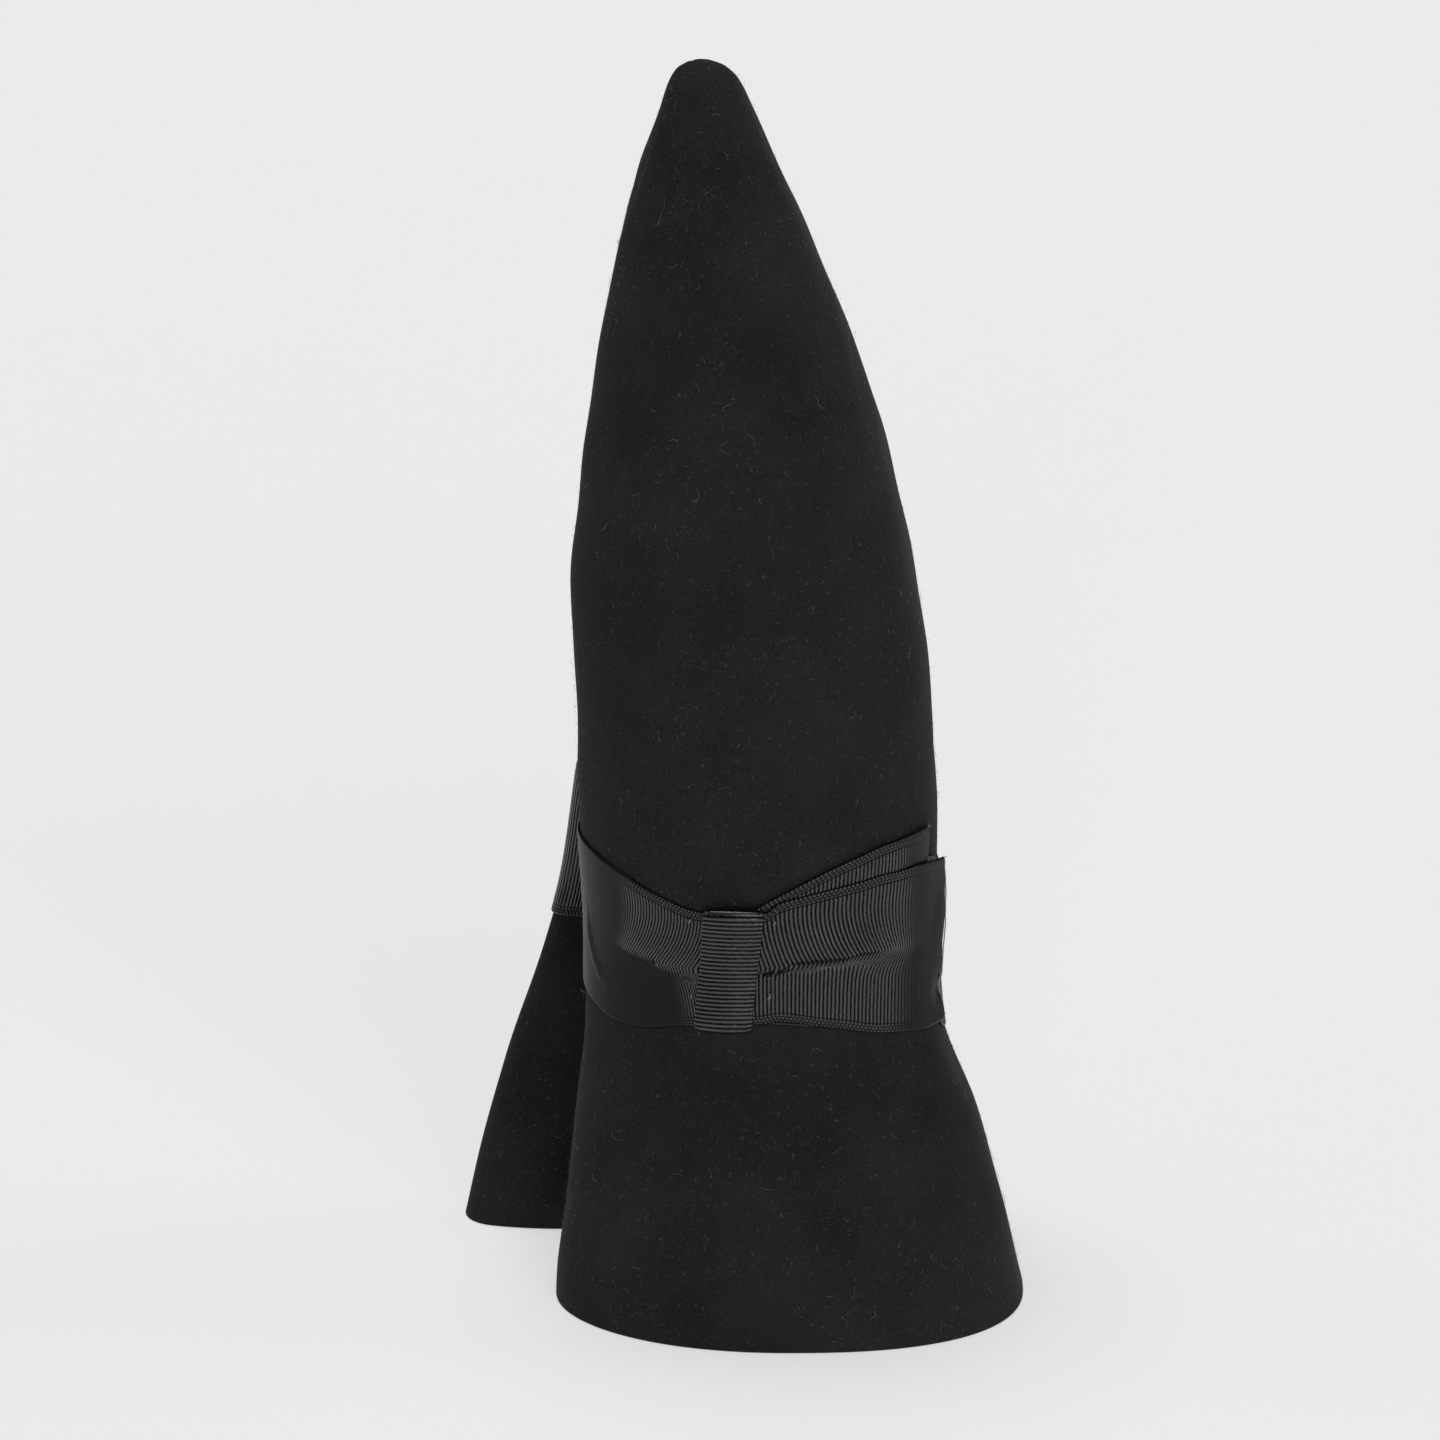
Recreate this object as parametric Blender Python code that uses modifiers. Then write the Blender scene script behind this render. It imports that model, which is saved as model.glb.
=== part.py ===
"""A soft felt fedora with a grosgrain ribbon, folded flat along its length and rolled into a cone.

The hat stands on the edge of its brim. Metres, +Z up, +X to the right, the bow faces -Y.
The felt is one folded sheet: two walls with a narrow hollow between them, open along the brim's edge.
The sheet is rolled a little over one turn, so each level of it is a spiral with two rounded folds.
"""
from collections import namedtuple

import bmesh
import bpy
import numpy as np

# One row for each level of the roll. left, right, front and back are the outer faces of the roll at that
# level, widest is the Y of its widest point, tuck_turn is how far round the tucked end reaches (degrees
# from the front, negative to the left), flap_x and flap_y are where the free end stops, flap_heading is
# its direction there (degrees, 0 is -X, positive turns to the front), half is half the sheet's
# thickness and end_half the same at its free end.
Level = namedtuple(
    "Level", "height left right front back widest tuck_turn flap_x flap_y flap_heading half end_half")
LEVELS = (
    Level(0.0000, -0.0394, 0.0598, -0.0470, 0.0390, -0.0085, -232, -0.0508, 0.0350, -16, 0.0030, 0.0082),
    Level(0.0150, -0.0380, 0.0565, -0.0424, 0.0404, -0.0065, -228, -0.0486, 0.0370, -14, 0.0030, 0.0070),
    Level(0.0350, -0.0356, 0.0505, -0.0342, 0.0426, -0.0025, -218, -0.0449, 0.0400, -10, 0.0030, 0.0050),
    Level(0.0580, -0.0330, 0.0422, -0.0254, 0.0448, 0.0030, -205, -0.0382, 0.0428, -6, 0.0030, 0.0038),
    Level(0.0750, -0.0328, 0.0412, -0.0245, 0.0455, 0.0050, -200, -0.0341, 0.0440, -3, 0.0030, 0.0033),
    Level(0.1000, -0.0340, 0.0413, -0.0268, 0.0450, 0.0065, -198, -0.0308, 0.0430, 0, 0.0030, 0.0030),
    Level(0.1250, -0.0349, 0.0398, -0.0278, 0.0438, 0.0070, -196, -0.0265, 0.0400, 4, 0.0030, 0.0030),
    Level(0.1500, -0.0355, 0.0369, -0.0273, 0.0414, 0.0070, -194, -0.0225, 0.0360, 9, 0.0030, 0.0028),
    Level(0.1750, -0.0332, 0.0312, -0.0244, 0.0372, 0.0065, -190, -0.0185, 0.0312, 17, 0.0030, 0.0024),
    Level(0.2000, -0.0296, 0.0238, -0.0196, 0.0312, 0.0060, -180, -0.0152, 0.0256, 26, 0.0030, 0.0019),
    Level(0.2200, -0.0259, 0.0158, -0.0144, 0.0256, 0.0055, -160, -0.0147, 0.0200, 32, 0.0030, 0.0014),
    Level(0.2380, -0.0209, 0.0078, -0.0086, 0.0190, 0.0052, -125, -0.0146, 0.0131, 42, 0.0030, 0.0011),
    Level(0.2500, -0.0166, 0.0027, -0.0043, 0.0142, 0.0050, -110, -0.0120, 0.0100, 40, 0.0026, 0.0010),
    Level(0.2560, -0.0145, -0.0002, -0.0016, 0.0116, 0.0050, -105, -0.0106, 0.0086, 36, 0.0020, 0.0008),
    Level(0.2586, -0.0128, -0.0028, 0.0006, 0.0094, 0.0050, -102, -0.0098, 0.0075, 34, 0.0012, 0.0005),
    Level(0.2598, -0.0107, -0.0056, 0.0027, 0.0073, 0.0050, -100, -0.0091, 0.0064, 34, 0.0006, 0.0002),
)
TIP = (-0.0081, 0.0050, 0.2601)
CENTRING = (-0.0004, -0.0007)               # brings the middle of the hat's box to X = 0, Y = 0

# The roll
FULLNESS_LEFT, FULLNESS_RIGHT = 2.1, 2.45  # exponents of the rounded outline, 2 is an ellipse
TUCK_PITCH = 0.0105                        # how far inside the outer layer the tucked one lies
TUCK_SHARE_OF_WIDTH = 0.5                  # its limit in the narrow top
TUCK_FROM, TUCK_TO = -70.0, -165.0         # degrees over which the sheet moves inwards
TUCK_SHARE, TUCK_START = 0.27, -60.0       # share of the path that is tucked, and the degrees where it starts
FLAP_SHARE = 0.22                          # share of the path that is the free end
FLAP_PULLS = (0.40, 0.35)                  # how stiffly the free end leaves the roll and arrives
SWELL_FROM, TAPER_TO = 0.74, 0.15          # where the thickness starts to change near the two folds

# The felt
WALL = 0.0020
WALL_SHARE = 2 / 3                         # limit of the wall as a share of half the sheet's thickness
SIDE_POINTS, FOLD_POINTS = 36, 5
OUTER_HEIGHTS = (0, 0.008, 0.017, 0.027, 0.037, 0.047, 0.055, 0.061, 0.067, 0.077, 0.089, 0.102, 0.116,
                 0.130, 0.145, 0.160, 0.175, 0.189, 0.202, 0.213, 0.223, 0.231, 0.239, 0.246, 0.252,
                 0.2565, 0.2588, 0.2598)
HOLLOW_TOP = 0.2390
HOLLOW_PEAK_RISE, HOLLOW_PEAK_SHARE = 0.0006, 0.35

# The ribbon
RIBBON_THICK = 0.0005
RIBBON_GAP = 0.0003
BAND_LOW, BAND_HIGH = 0.0623, 0.0963
BAND_FLAP_RISE = 0.0030                    # how much higher the band runs on the free end
BAND_RISE_FROM = 0.70
BAND_SINK = 0.0076                         # how much lower the band runs round the right side
BAND_SINK_TURNS = (64.0, 88.0)             # degrees over which it sinks
BAND_SINK_SHARES = (0.68, 0.92)            # shares of the path over which it comes up again
BAND_ROWS = 5
PINCH_HIGH, PINCH_LOW = 0.0083, 0.0017     # how far the bow gathers the band's upper and lower edge
PINCH_TURN, PINCH_HALF = -11.0, 14.0       # degrees: the middle and half width of the gathered stretch
PINCH_SPAN_LEFT, PINCH_SPAN_RIGHT = 60.0, 56.0
PINCH_POWER = 1.3

# The bow's tails: row = station along the tail: turn (degrees), lower and upper edge, stand-off.
Station = namedtuple("Station", "turn low high lift")
TAIL_FRONT = (
    Station(-8, 0.0640, 0.0876, 0.00170),
    Station(3, 0.0645, 0.0886, 0.00170),
    Station(8, 0.0649, 0.0908, 0.00170),
    Station(16, 0.0645, 0.0922, 0.00170),
    Station(30, 0.0632, 0.0941, 0.00170),
    Station(45, 0.0613, 0.0954, 0.00170),
    Station(60, 0.0600, 0.0952, 0.00175),
    Station(72, 0.0600, 0.0944, 0.00200),
)
TAIL_BACK = (
    Station(-8, 0.0650, 0.0876, 0.00100),
    Station(3, 0.0656, 0.0886, 0.00100),
    Station(8, 0.0659, 0.0920, 0.00100),
    Station(15, 0.0662, 0.0945, 0.00100),
    Station(30, 0.0672, 0.0988, 0.00100),
    Station(45, 0.0680, 0.1017, 0.00100),
    Station(61, 0.0686, 0.1026, 0.00100),
)
TAIL_POINTS, TAIL_ROWS = 19, 5

# The bow's knot: row = height, turn of its middle, half of its width (degrees), stand-off of its inner face.
Knot = namedtuple("Knot", "height turn half_turn lift")
KNOT_ROWS = (
    Knot(0.0636, -15.2, 11.5, 0.0005),
    Knot(0.0632, -15.2, 11.6, 0.0016),
    Knot(0.0639, -15.1, 11.6, 0.0027),
    Knot(0.0700, -14.0, 11.5, 0.0028),
    Knot(0.0765, -12.5, 11.4, 0.0028),
    Knot(0.0825, -10.7, 11.3, 0.0028),
    Knot(0.0880, -9.3, 11.2, 0.0027),
    Knot(0.0889, -9.2, 11.2, 0.0016),
    Knot(0.0886, -9.2, 11.2, 0.0005),
)
KNOT_POINTS = 9
KNOT_CROWN = 0.0004                        # how much the knot's middle stands above its long edges

COLLECTION = "fedora_rolled"


def column(rows, name):
    """One named column of a table as an array."""
    return np.array([getattr(row, name) for row in rows], float)


def smooth_curve(x, knots, values):
    """A curve through the knots that never overshoots them: cubic pieces with harmonic mean slopes."""
    step = np.diff(knots)
    slope = np.diff(values) / step
    total = slope[:-1] + slope[1:]
    product = slope[:-1] * slope[1:]
    middle = np.where(product > 0, 2 * product / np.where(total == 0, 1, total), 0)
    tangent = np.concatenate(([slope[0]], middle, [slope[-1]]))
    i = np.clip(np.searchsorted(knots, x) - 1, 0, len(step) - 1)
    t = (x - knots[i]) / step[i]
    return ((2 * t**3 - 3 * t**2 + 1) * values[i] + (t**3 - 2 * t**2 + t) * step[i] * tangent[i]
            + (3 * t**2 - 2 * t**3) * values[i + 1] + (t**3 - t**2) * step[i] * tangent[i + 1])


def level(name, z):
    """A column of the level table at the heights z."""
    return smooth_curve(z, column(LEVELS, "height"), column(LEVELS, name))


def ramp(x):
    """0 below 0, 1 above 1, and smooth between."""
    x = np.clip(x, 0, 1)
    return x * x * (3 - 2 * x)


def half_thickness(share, z):
    """Half the folded sheet's thickness: fuller or thinner towards the two folds."""
    half, end = level("half", z), level("end_half", z)
    return (half + (end - half) * ramp((share - SWELL_FROM) / (1 - SWELL_FROM))
            + (np.minimum(end, half) - half) * ramp(1 - share / TAPER_TO))


def turn_at(share, z):
    """Degrees from the front of a point of the roll, negative to the left."""
    first = level("tuck_turn", z)
    tucked = first + (TUCK_START - first) * share / TUCK_SHARE
    rolled = TUCK_START + (180 - TUCK_START) * (share - TUCK_SHARE) / (1 - FLAP_SHARE - TUCK_SHARE)
    return np.where(share < TUCK_SHARE, tucked, np.minimum(rolled, 180))


def share_at(turn):
    """Path share of the point of the roll that lies turn degrees from the front, for its visible stretch."""
    return TUCK_SHARE + (1 - FLAP_SHARE - TUCK_SHARE) * (turn - TUCK_START) / (180 - TUCK_START)


def middle_of_sheet(share, z):
    """X and Y of the sheet's middle: share 0 is the tucked fold, 1 the free one.

    The roll itself is a rounded outline in polar form, moved inwards where it is tucked. The free end
    is a Bezier curve from the back of the roll to flap_x, flap_y.
    """
    half = level("half", z)
    left, right, front, back = (level(side, z) for side in ("left", "right", "front", "back"))
    widest = level("widest", z)
    centre, across = (left + right) / 2, (right - left) / 2 - half
    turn = turn_at(share, z)
    sine, cosine = np.sin(np.radians(turn)), np.cos(np.radians(turn))
    along = np.where(cosine > 0, widest - front, back - widest) - half
    power = np.where(sine > 0, FULLNESS_RIGHT, FULLNESS_LEFT)
    radius = (np.abs(sine / across) ** power + np.abs(cosine / along) ** power) ** (-1 / power)
    pitch = np.minimum(TUCK_PITCH, TUCK_SHARE_OF_WIDTH * across)
    radius = radius - pitch * ramp((TUCK_FROM - turn) / (TUCK_FROM - TUCK_TO))
    roll_x, roll_y = centre + radius * sine, widest - radius * cosine

    end_x, end_y = level("flap_x", z), level("flap_y", z)
    start_x, start_y = centre, back - half
    reach = np.hypot(end_x - start_x, end_y - start_y)
    heading = np.radians(level("flap_heading", z))
    handles_x = (start_x, start_x - FLAP_PULLS[0] * reach, end_x + FLAP_PULLS[1] * reach * np.cos(heading), end_x)
    handles_y = (start_y, start_y, end_y + FLAP_PULLS[1] * reach * np.sin(heading), end_y)
    q = np.clip((share - 1 + FLAP_SHARE) / FLAP_SHARE, 0, 1)
    weights = ((1 - q)**3, 3 * (1 - q)**2 * q, 3 * (1 - q) * q**2, q**3)
    flap_x = sum(w * x for w, x in zip(weights, handles_x))
    flap_y = sum(w * y for w, y in zip(weights, handles_y))
    on_flap = share > 1 - FLAP_SHARE
    return np.where(on_flap, flap_x, roll_x), np.where(on_flap, flap_y, roll_y)


def skin(share, forward, outward, z, lift):
    """Points lift outside the folded sheet; forward and outward say where round its thickness they lie."""
    share, forward, outward, z, lift = np.broadcast_arrays(share, forward, outward, z, lift)
    nudge = 1e-3
    x0, y0 = middle_of_sheet(np.clip(share - nudge, 0, 1), z)
    x1, y1 = middle_of_sheet(np.clip(share + nudge, 0, 1), z)
    length = np.hypot(x1 - x0, y1 - y0)
    along_x, along_y = (x1 - x0) / length, (y1 - y0) / length
    x, y = middle_of_sheet(share, z)
    reach = half_thickness(share, z) + lift
    return np.stack((x + reach * (outward * along_y + forward * along_x) + CENTRING[0],
                     y + reach * (forward * along_y - outward * along_x) + CENTRING[1], z), -1)


def loop_round_sheet():
    """share, forward and outward once round the sheet: outer side, free fold, inner side, tucked fold."""
    side = np.linspace(0, 1, SIDE_POINTS)
    angle = np.linspace(np.pi / 2, -np.pi / 2, FOLD_POINTS + 2)[1:-1]
    share = np.concatenate((side, np.ones(FOLD_POINTS), side[::-1], np.zeros(FOLD_POINTS)))
    flat, one = np.zeros(SIDE_POINTS), np.ones(SIDE_POINTS)
    forward = np.concatenate((flat, np.cos(angle), flat, -np.cos(angle)))
    outward = np.concatenate((one, np.sin(angle), -one, -np.sin(angle)))
    return share, forward, outward


def finish(name, colour, roughness):
    """A Principled material."""
    material = bpy.data.materials.new(name)
    material.use_nodes = True
    shader = material.node_tree.nodes["Principled BSDF"]
    shader.inputs["Base Color"].default_value = (*colour, 1.0)
    shader.inputs["Roughness"].default_value = roughness
    shader.inputs["Metallic"].default_value = 0.0
    return material


def add_object(name, mesh, material, collection):
    """Puts a mesh in the collection as a named, smooth object with its material."""
    mesh.shade_smooth()
    mesh.materials.append(material)
    piece = bpy.data.objects.new(name, mesh)
    collection.objects.link(piece)
    return piece


def mesh_of_grid(name, points, closed):
    """A surface through a grid of points (rows, columns, 3), closed round its columns or open."""
    rows, columns = points.shape[:2]
    shape = bmesh.new()
    corners = [[shape.verts.new(point) for point in row] for row in points]
    last = columns if closed else columns - 1
    for lower, upper in zip(corners, corners[1:]):
        for i in range(last):
            k = (i + 1) % columns
            shape.faces.new((lower[i], lower[k], upper[k], upper[i]))
    mesh = bpy.data.meshes.new(name)
    shape.to_mesh(mesh)
    shape.free()
    return mesh


def thicken(piece, thickness):
    """Gives a surface its thickness, away from the felt."""
    solid = piece.modifiers.new("thickness", "SOLIDIFY")
    solid.thickness = thickness
    solid.offset = 1.0
    solid.use_even_offset = False
    solid.use_rim = True
    return piece


def join_rings(shape, ring_a, ring_b):
    """A strip of faces between two closed rings of corners."""
    count = len(ring_a)
    for i in range(count):
        k = (i + 1) % count
        shape.faces.new((ring_a[i], ring_a[k], ring_b[k], ring_b[i]))


def felt_body(material, collection):
    """The felt: an outer skin up to the tip and a hollow skin inside it, joined by the flat brim edge."""
    share, forward, outward = loop_round_sheet()
    heights = np.array(OUTER_HEIGHTS)
    outer = skin(share[None], forward[None], outward[None], heights[:, None], 0.0)
    hollow_heights = np.concatenate((heights[heights <= HOLLOW_TOP], [HOLLOW_TOP + HOLLOW_PEAK_RISE]))
    inner_share = np.broadcast_to(share, (len(hollow_heights), len(share)))
    half = half_thickness(inner_share, hollow_heights[:, None])
    wall = np.minimum(WALL, WALL_SHARE * half)
    wall[-1] = half[-1] - HOLLOW_PEAK_SHARE * (half[-1] - wall[-1])
    inner = skin(inner_share, forward[None], outward[None], hollow_heights[:, None], -wall)

    shape = bmesh.new()
    outer_rings = [[shape.verts.new(point) for point in row] for row in outer]
    inner_rings = [[shape.verts.new(point) for point in row] for row in inner]
    for lower, upper in zip(outer_rings, outer_rings[1:]):
        join_rings(shape, lower, upper)
    for lower, upper in zip(inner_rings, inner_rings[1:]):
        join_rings(shape, upper, lower)
    join_rings(shape, inner_rings[0], outer_rings[0])
    tip = shape.verts.new((TIP[0] + CENTRING[0], TIP[1] + CENTRING[1], TIP[2]))
    count = len(share)
    for i in range(count):
        shape.faces.new((outer_rings[-1][i], outer_rings[-1][(i + 1) % count], tip))
    close_hollow(shape, inner_rings[-1])
    mesh = bpy.data.meshes.new("felt_body")
    shape.to_mesh(mesh)
    shape.free()
    return add_object("felt_body", mesh, material, collection)


def close_hollow(shape, ring):
    """Closes the top of the narrow hollow with a strip between its two sides and a fan at each fold."""
    outer_side = ring[:SIDE_POINTS]
    inner_side = ring[SIDE_POINTS + FOLD_POINTS:2 * SIDE_POINTS + FOLD_POINTS][::-1]
    for i in range(SIDE_POINTS - 1):
        shape.faces.new((outer_side[i + 1], outer_side[i], inner_side[i], inner_side[i + 1]))
    free_fold = ring[SIDE_POINTS - 1:SIDE_POINTS + FOLD_POINTS + 1]
    tucked_fold = ring[2 * SIDE_POINTS + FOLD_POINTS - 1:] + [ring[0]]
    shape.faces.new(free_fold[::-1])
    shape.faces.new(tucked_fold[::-1])


def pinch_at(turn):
    """How strongly the bow gathers the band there: 1 at the knot, 0 away from it."""
    span = np.where(turn < PINCH_TURN, PINCH_SPAN_LEFT, PINCH_SPAN_RIGHT)
    beyond = np.maximum(np.abs(turn - PINCH_TURN) - PINCH_HALF, 0)
    return np.clip(1 - beyond / span, 0, 1) ** PINCH_POWER


def ribbon_band(material, collection):
    """The band round the folded felt, gathered under the knot."""
    share, forward, outward = loop_round_sheet()
    across = np.linspace(0, 1, BAND_ROWS)[:, None]
    rise = BAND_FLAP_RISE * ramp((share - BAND_RISE_FROM) / (1 - BAND_RISE_FROM))
    middle = (BAND_LOW + BAND_HIGH) / 2
    turn = turn_at(share, middle)
    pinch = pinch_at(turn) * (outward > 0)
    sink_from, sink_to = BAND_SINK_TURNS
    back_from, back_to = BAND_SINK_SHARES
    sink = BAND_SINK * ramp((turn - sink_from) / (sink_to - sink_from))
    sink = sink * (1 - ramp((share - back_from) / (back_to - back_from)))
    low = BAND_LOW + rise - sink + PINCH_LOW * pinch
    high = BAND_HIGH + rise - sink - PINCH_HIGH * pinch
    z = low + (high - low) * across
    points = skin(share[None], forward[None], outward[None], z, RIBBON_GAP)
    return thicken(add_object("ribbon_band", mesh_of_grid("ribbon_band", points, True), material, collection),
                   RIBBON_THICK)


def bow_tail(name, stations, material, collection):
    """One cut end of the ribbon, laid over the band from under the knot to the right."""
    turns = column(stations, "turn")
    turn = np.linspace(turns[0], turns[-1], TAIL_POINTS)[None]
    low, high, lift = (smooth_curve(turn, turns, column(stations, field)) for field in ("low", "high", "lift"))
    z = low + (high - low) * np.linspace(0, 1, TAIL_ROWS)[:, None]
    points = skin(share_at(turn), 0.0, 1.0, z, lift)
    return thicken(add_object(name, mesh_of_grid(name, points, False), material, collection), RIBBON_THICK)


def bow_knot(material, collection):
    """The short cross strip over the gathered band, turned in over its upper and lower edges."""
    side = np.linspace(-1, 1, KNOT_POINTS)[None]
    height, turn, half_turn, lift = (column(KNOT_ROWS, field)[:, None] for field in Knot._fields)
    points = skin(share_at(turn + side * half_turn), 0.0, 1.0, height, lift + KNOT_CROWN * (1 - side**2))
    return thicken(add_object("bow_knot", mesh_of_grid("bow_knot", points, False), material, collection),
                   RIBBON_THICK)


def main():
    """Clears the scene and builds the hat."""
    for old in list(bpy.data.objects):
        bpy.data.objects.remove(old)
    collection = bpy.data.collections.new(COLLECTION)
    bpy.context.scene.collection.children.link(collection)
    felt = finish("black_wool_felt", (0.013, 0.014, 0.016), 0.95)
    ribbon = finish("black_grosgrain", (0.022, 0.024, 0.027), 0.45)
    felt_body(felt, collection)
    ribbon_band(ribbon, collection)
    bow_tail("bow_tail_back", TAIL_BACK, ribbon, collection)
    bow_tail("bow_tail_front", TAIL_FRONT, ribbon, collection)
    bow_knot(ribbon, collection)


main()
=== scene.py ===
"""The looks of a black felt fedora that is folded flat along its length and rolled into a cone.

Metres, +Z up, +X to the right, the bow faces -Y, and the hat stands on the edge of its brim at Z = 0.
Every piece lies on one folded sheet that is rolled a little over one turn. A place on it is given by share,
from 0 at the tucked fold to 1 at the free one, by the height z and by the lift outside the felt's skin.
"""
from __future__ import annotations

import logging
from dataclasses import dataclass
from enum import Enum
from typing import NamedTuple, Sequence

import bpy
import numpy as np
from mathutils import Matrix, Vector

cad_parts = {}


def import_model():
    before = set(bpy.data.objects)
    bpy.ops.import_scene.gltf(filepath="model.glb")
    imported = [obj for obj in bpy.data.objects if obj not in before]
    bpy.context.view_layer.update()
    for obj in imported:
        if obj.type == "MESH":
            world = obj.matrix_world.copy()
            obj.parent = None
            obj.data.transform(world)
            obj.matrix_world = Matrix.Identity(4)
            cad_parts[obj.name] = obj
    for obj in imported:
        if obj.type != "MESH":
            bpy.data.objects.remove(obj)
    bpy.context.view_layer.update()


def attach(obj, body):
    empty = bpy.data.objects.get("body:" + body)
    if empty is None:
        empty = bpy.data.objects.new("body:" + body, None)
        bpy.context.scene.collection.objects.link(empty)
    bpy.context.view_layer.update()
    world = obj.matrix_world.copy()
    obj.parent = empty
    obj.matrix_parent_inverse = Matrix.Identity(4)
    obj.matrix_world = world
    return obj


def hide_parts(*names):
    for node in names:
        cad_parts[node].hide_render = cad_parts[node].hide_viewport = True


log = logging.getLogger("fedora")


class Level(NamedTuple):
    """One level of the roll: its outer faces, where its folds lie and half the sheet's thickness."""

    height: float
    left: float
    right: float
    front: float
    back: float
    widest: float
    tuck_turn: float
    flap_x: float
    flap_y: float
    flap_heading: float
    half: float
    end_half: float


LEVELS = (
    Level(0.0000, -0.0394, 0.0598, -0.0470, 0.0390, -0.0085, -232, -0.0508, 0.0350, -16, 0.0030, 0.0082),
    Level(0.0150, -0.0380, 0.0565, -0.0424, 0.0404, -0.0065, -228, -0.0486, 0.0370, -14, 0.0030, 0.0070),
    Level(0.0350, -0.0356, 0.0505, -0.0342, 0.0426, -0.0025, -218, -0.0449, 0.0400, -10, 0.0030, 0.0050),
    Level(0.0580, -0.0330, 0.0422, -0.0254, 0.0448, 0.0030, -205, -0.0382, 0.0428, -6, 0.0030, 0.0038),
    Level(0.0750, -0.0328, 0.0412, -0.0245, 0.0455, 0.0050, -200, -0.0341, 0.0440, -3, 0.0030, 0.0033),
    Level(0.1000, -0.0340, 0.0413, -0.0268, 0.0450, 0.0065, -198, -0.0308, 0.0430, 0, 0.0030, 0.0030),
    Level(0.1250, -0.0349, 0.0398, -0.0278, 0.0438, 0.0070, -196, -0.0265, 0.0400, 4, 0.0030, 0.0030),
    Level(0.1500, -0.0355, 0.0369, -0.0273, 0.0414, 0.0070, -194, -0.0225, 0.0360, 9, 0.0030, 0.0028),
    Level(0.1750, -0.0332, 0.0312, -0.0244, 0.0372, 0.0065, -190, -0.0185, 0.0312, 17, 0.0030, 0.0024),
    Level(0.2000, -0.0296, 0.0238, -0.0196, 0.0312, 0.0060, -180, -0.0152, 0.0256, 26, 0.0030, 0.0019),
    Level(0.2200, -0.0259, 0.0158, -0.0144, 0.0256, 0.0055, -160, -0.0147, 0.0200, 32, 0.0030, 0.0014),
    Level(0.2380, -0.0209, 0.0078, -0.0086, 0.0190, 0.0052, -125, -0.0146, 0.0131, 42, 0.0030, 0.0011),
    Level(0.2500, -0.0166, 0.0027, -0.0043, 0.0142, 0.0050, -110, -0.0120, 0.0100, 40, 0.0026, 0.0010),
    Level(0.2560, -0.0145, -0.0002, -0.0016, 0.0116, 0.0050, -105, -0.0106, 0.0086, 36, 0.0020, 0.0008),
    Level(0.2586, -0.0128, -0.0028, 0.0006, 0.0094, 0.0050, -102, -0.0098, 0.0075, 34, 0.0012, 0.0005),
    Level(0.2598, -0.0107, -0.0056, 0.0027, 0.0073, 0.0050, -100, -0.0091, 0.0064, 34, 0.0006, 0.0002),
)


def ramp(x: np.ndarray) -> np.ndarray:
    """0 below 0, 1 above 1, and the cubic 3x^2 - 2x^3 between."""
    x = np.clip(x, 0, 1)
    return x * x * (3 - 2 * x)


def bell(x: np.ndarray) -> np.ndarray:
    """A rounded bump: 1 at 0, and e to the minus x squared elsewhere."""
    return np.exp(-x * x)


def smooth_curve(x: np.ndarray, knots: np.ndarray, values: np.ndarray) -> np.ndarray:
    """A curve through the knots that never overshoots them.

    Each piece is a cubic whose end slopes are the harmonic mean of the slopes on both sides.

    Args:
        x: where the curve is read.
        knots: growing places of the given values.
        values: the curve's values there.

    Returns:
        The curve's values at x.
    """
    step = np.diff(knots)
    slope = np.diff(values) / step
    total, product = slope[:-1] + slope[1:], slope[:-1] * slope[1:]
    middle = np.where(product > 0, 2 * product / np.where(total == 0, 1, total), 0)
    tangent = np.concatenate(([slope[0]], middle, [slope[-1]]))
    i = np.clip(np.searchsorted(knots, x) - 1, 0, len(step) - 1)
    t = (x - knots[i]) / step[i]
    return ((2 * t**3 - 3 * t**2 + 1) * values[i] + (t**3 - 2 * t**2 + t) * step[i] * tangent[i]
            + (3 * t**2 - 2 * t**3) * values[i + 1] + (t**3 - t**2) * step[i] * tangent[i + 1])


def column(rows: Sequence[NamedTuple], name: str) -> np.ndarray:
    """One named column of a table as an array."""
    return np.array([getattr(row, name) for row in rows], float)


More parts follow.
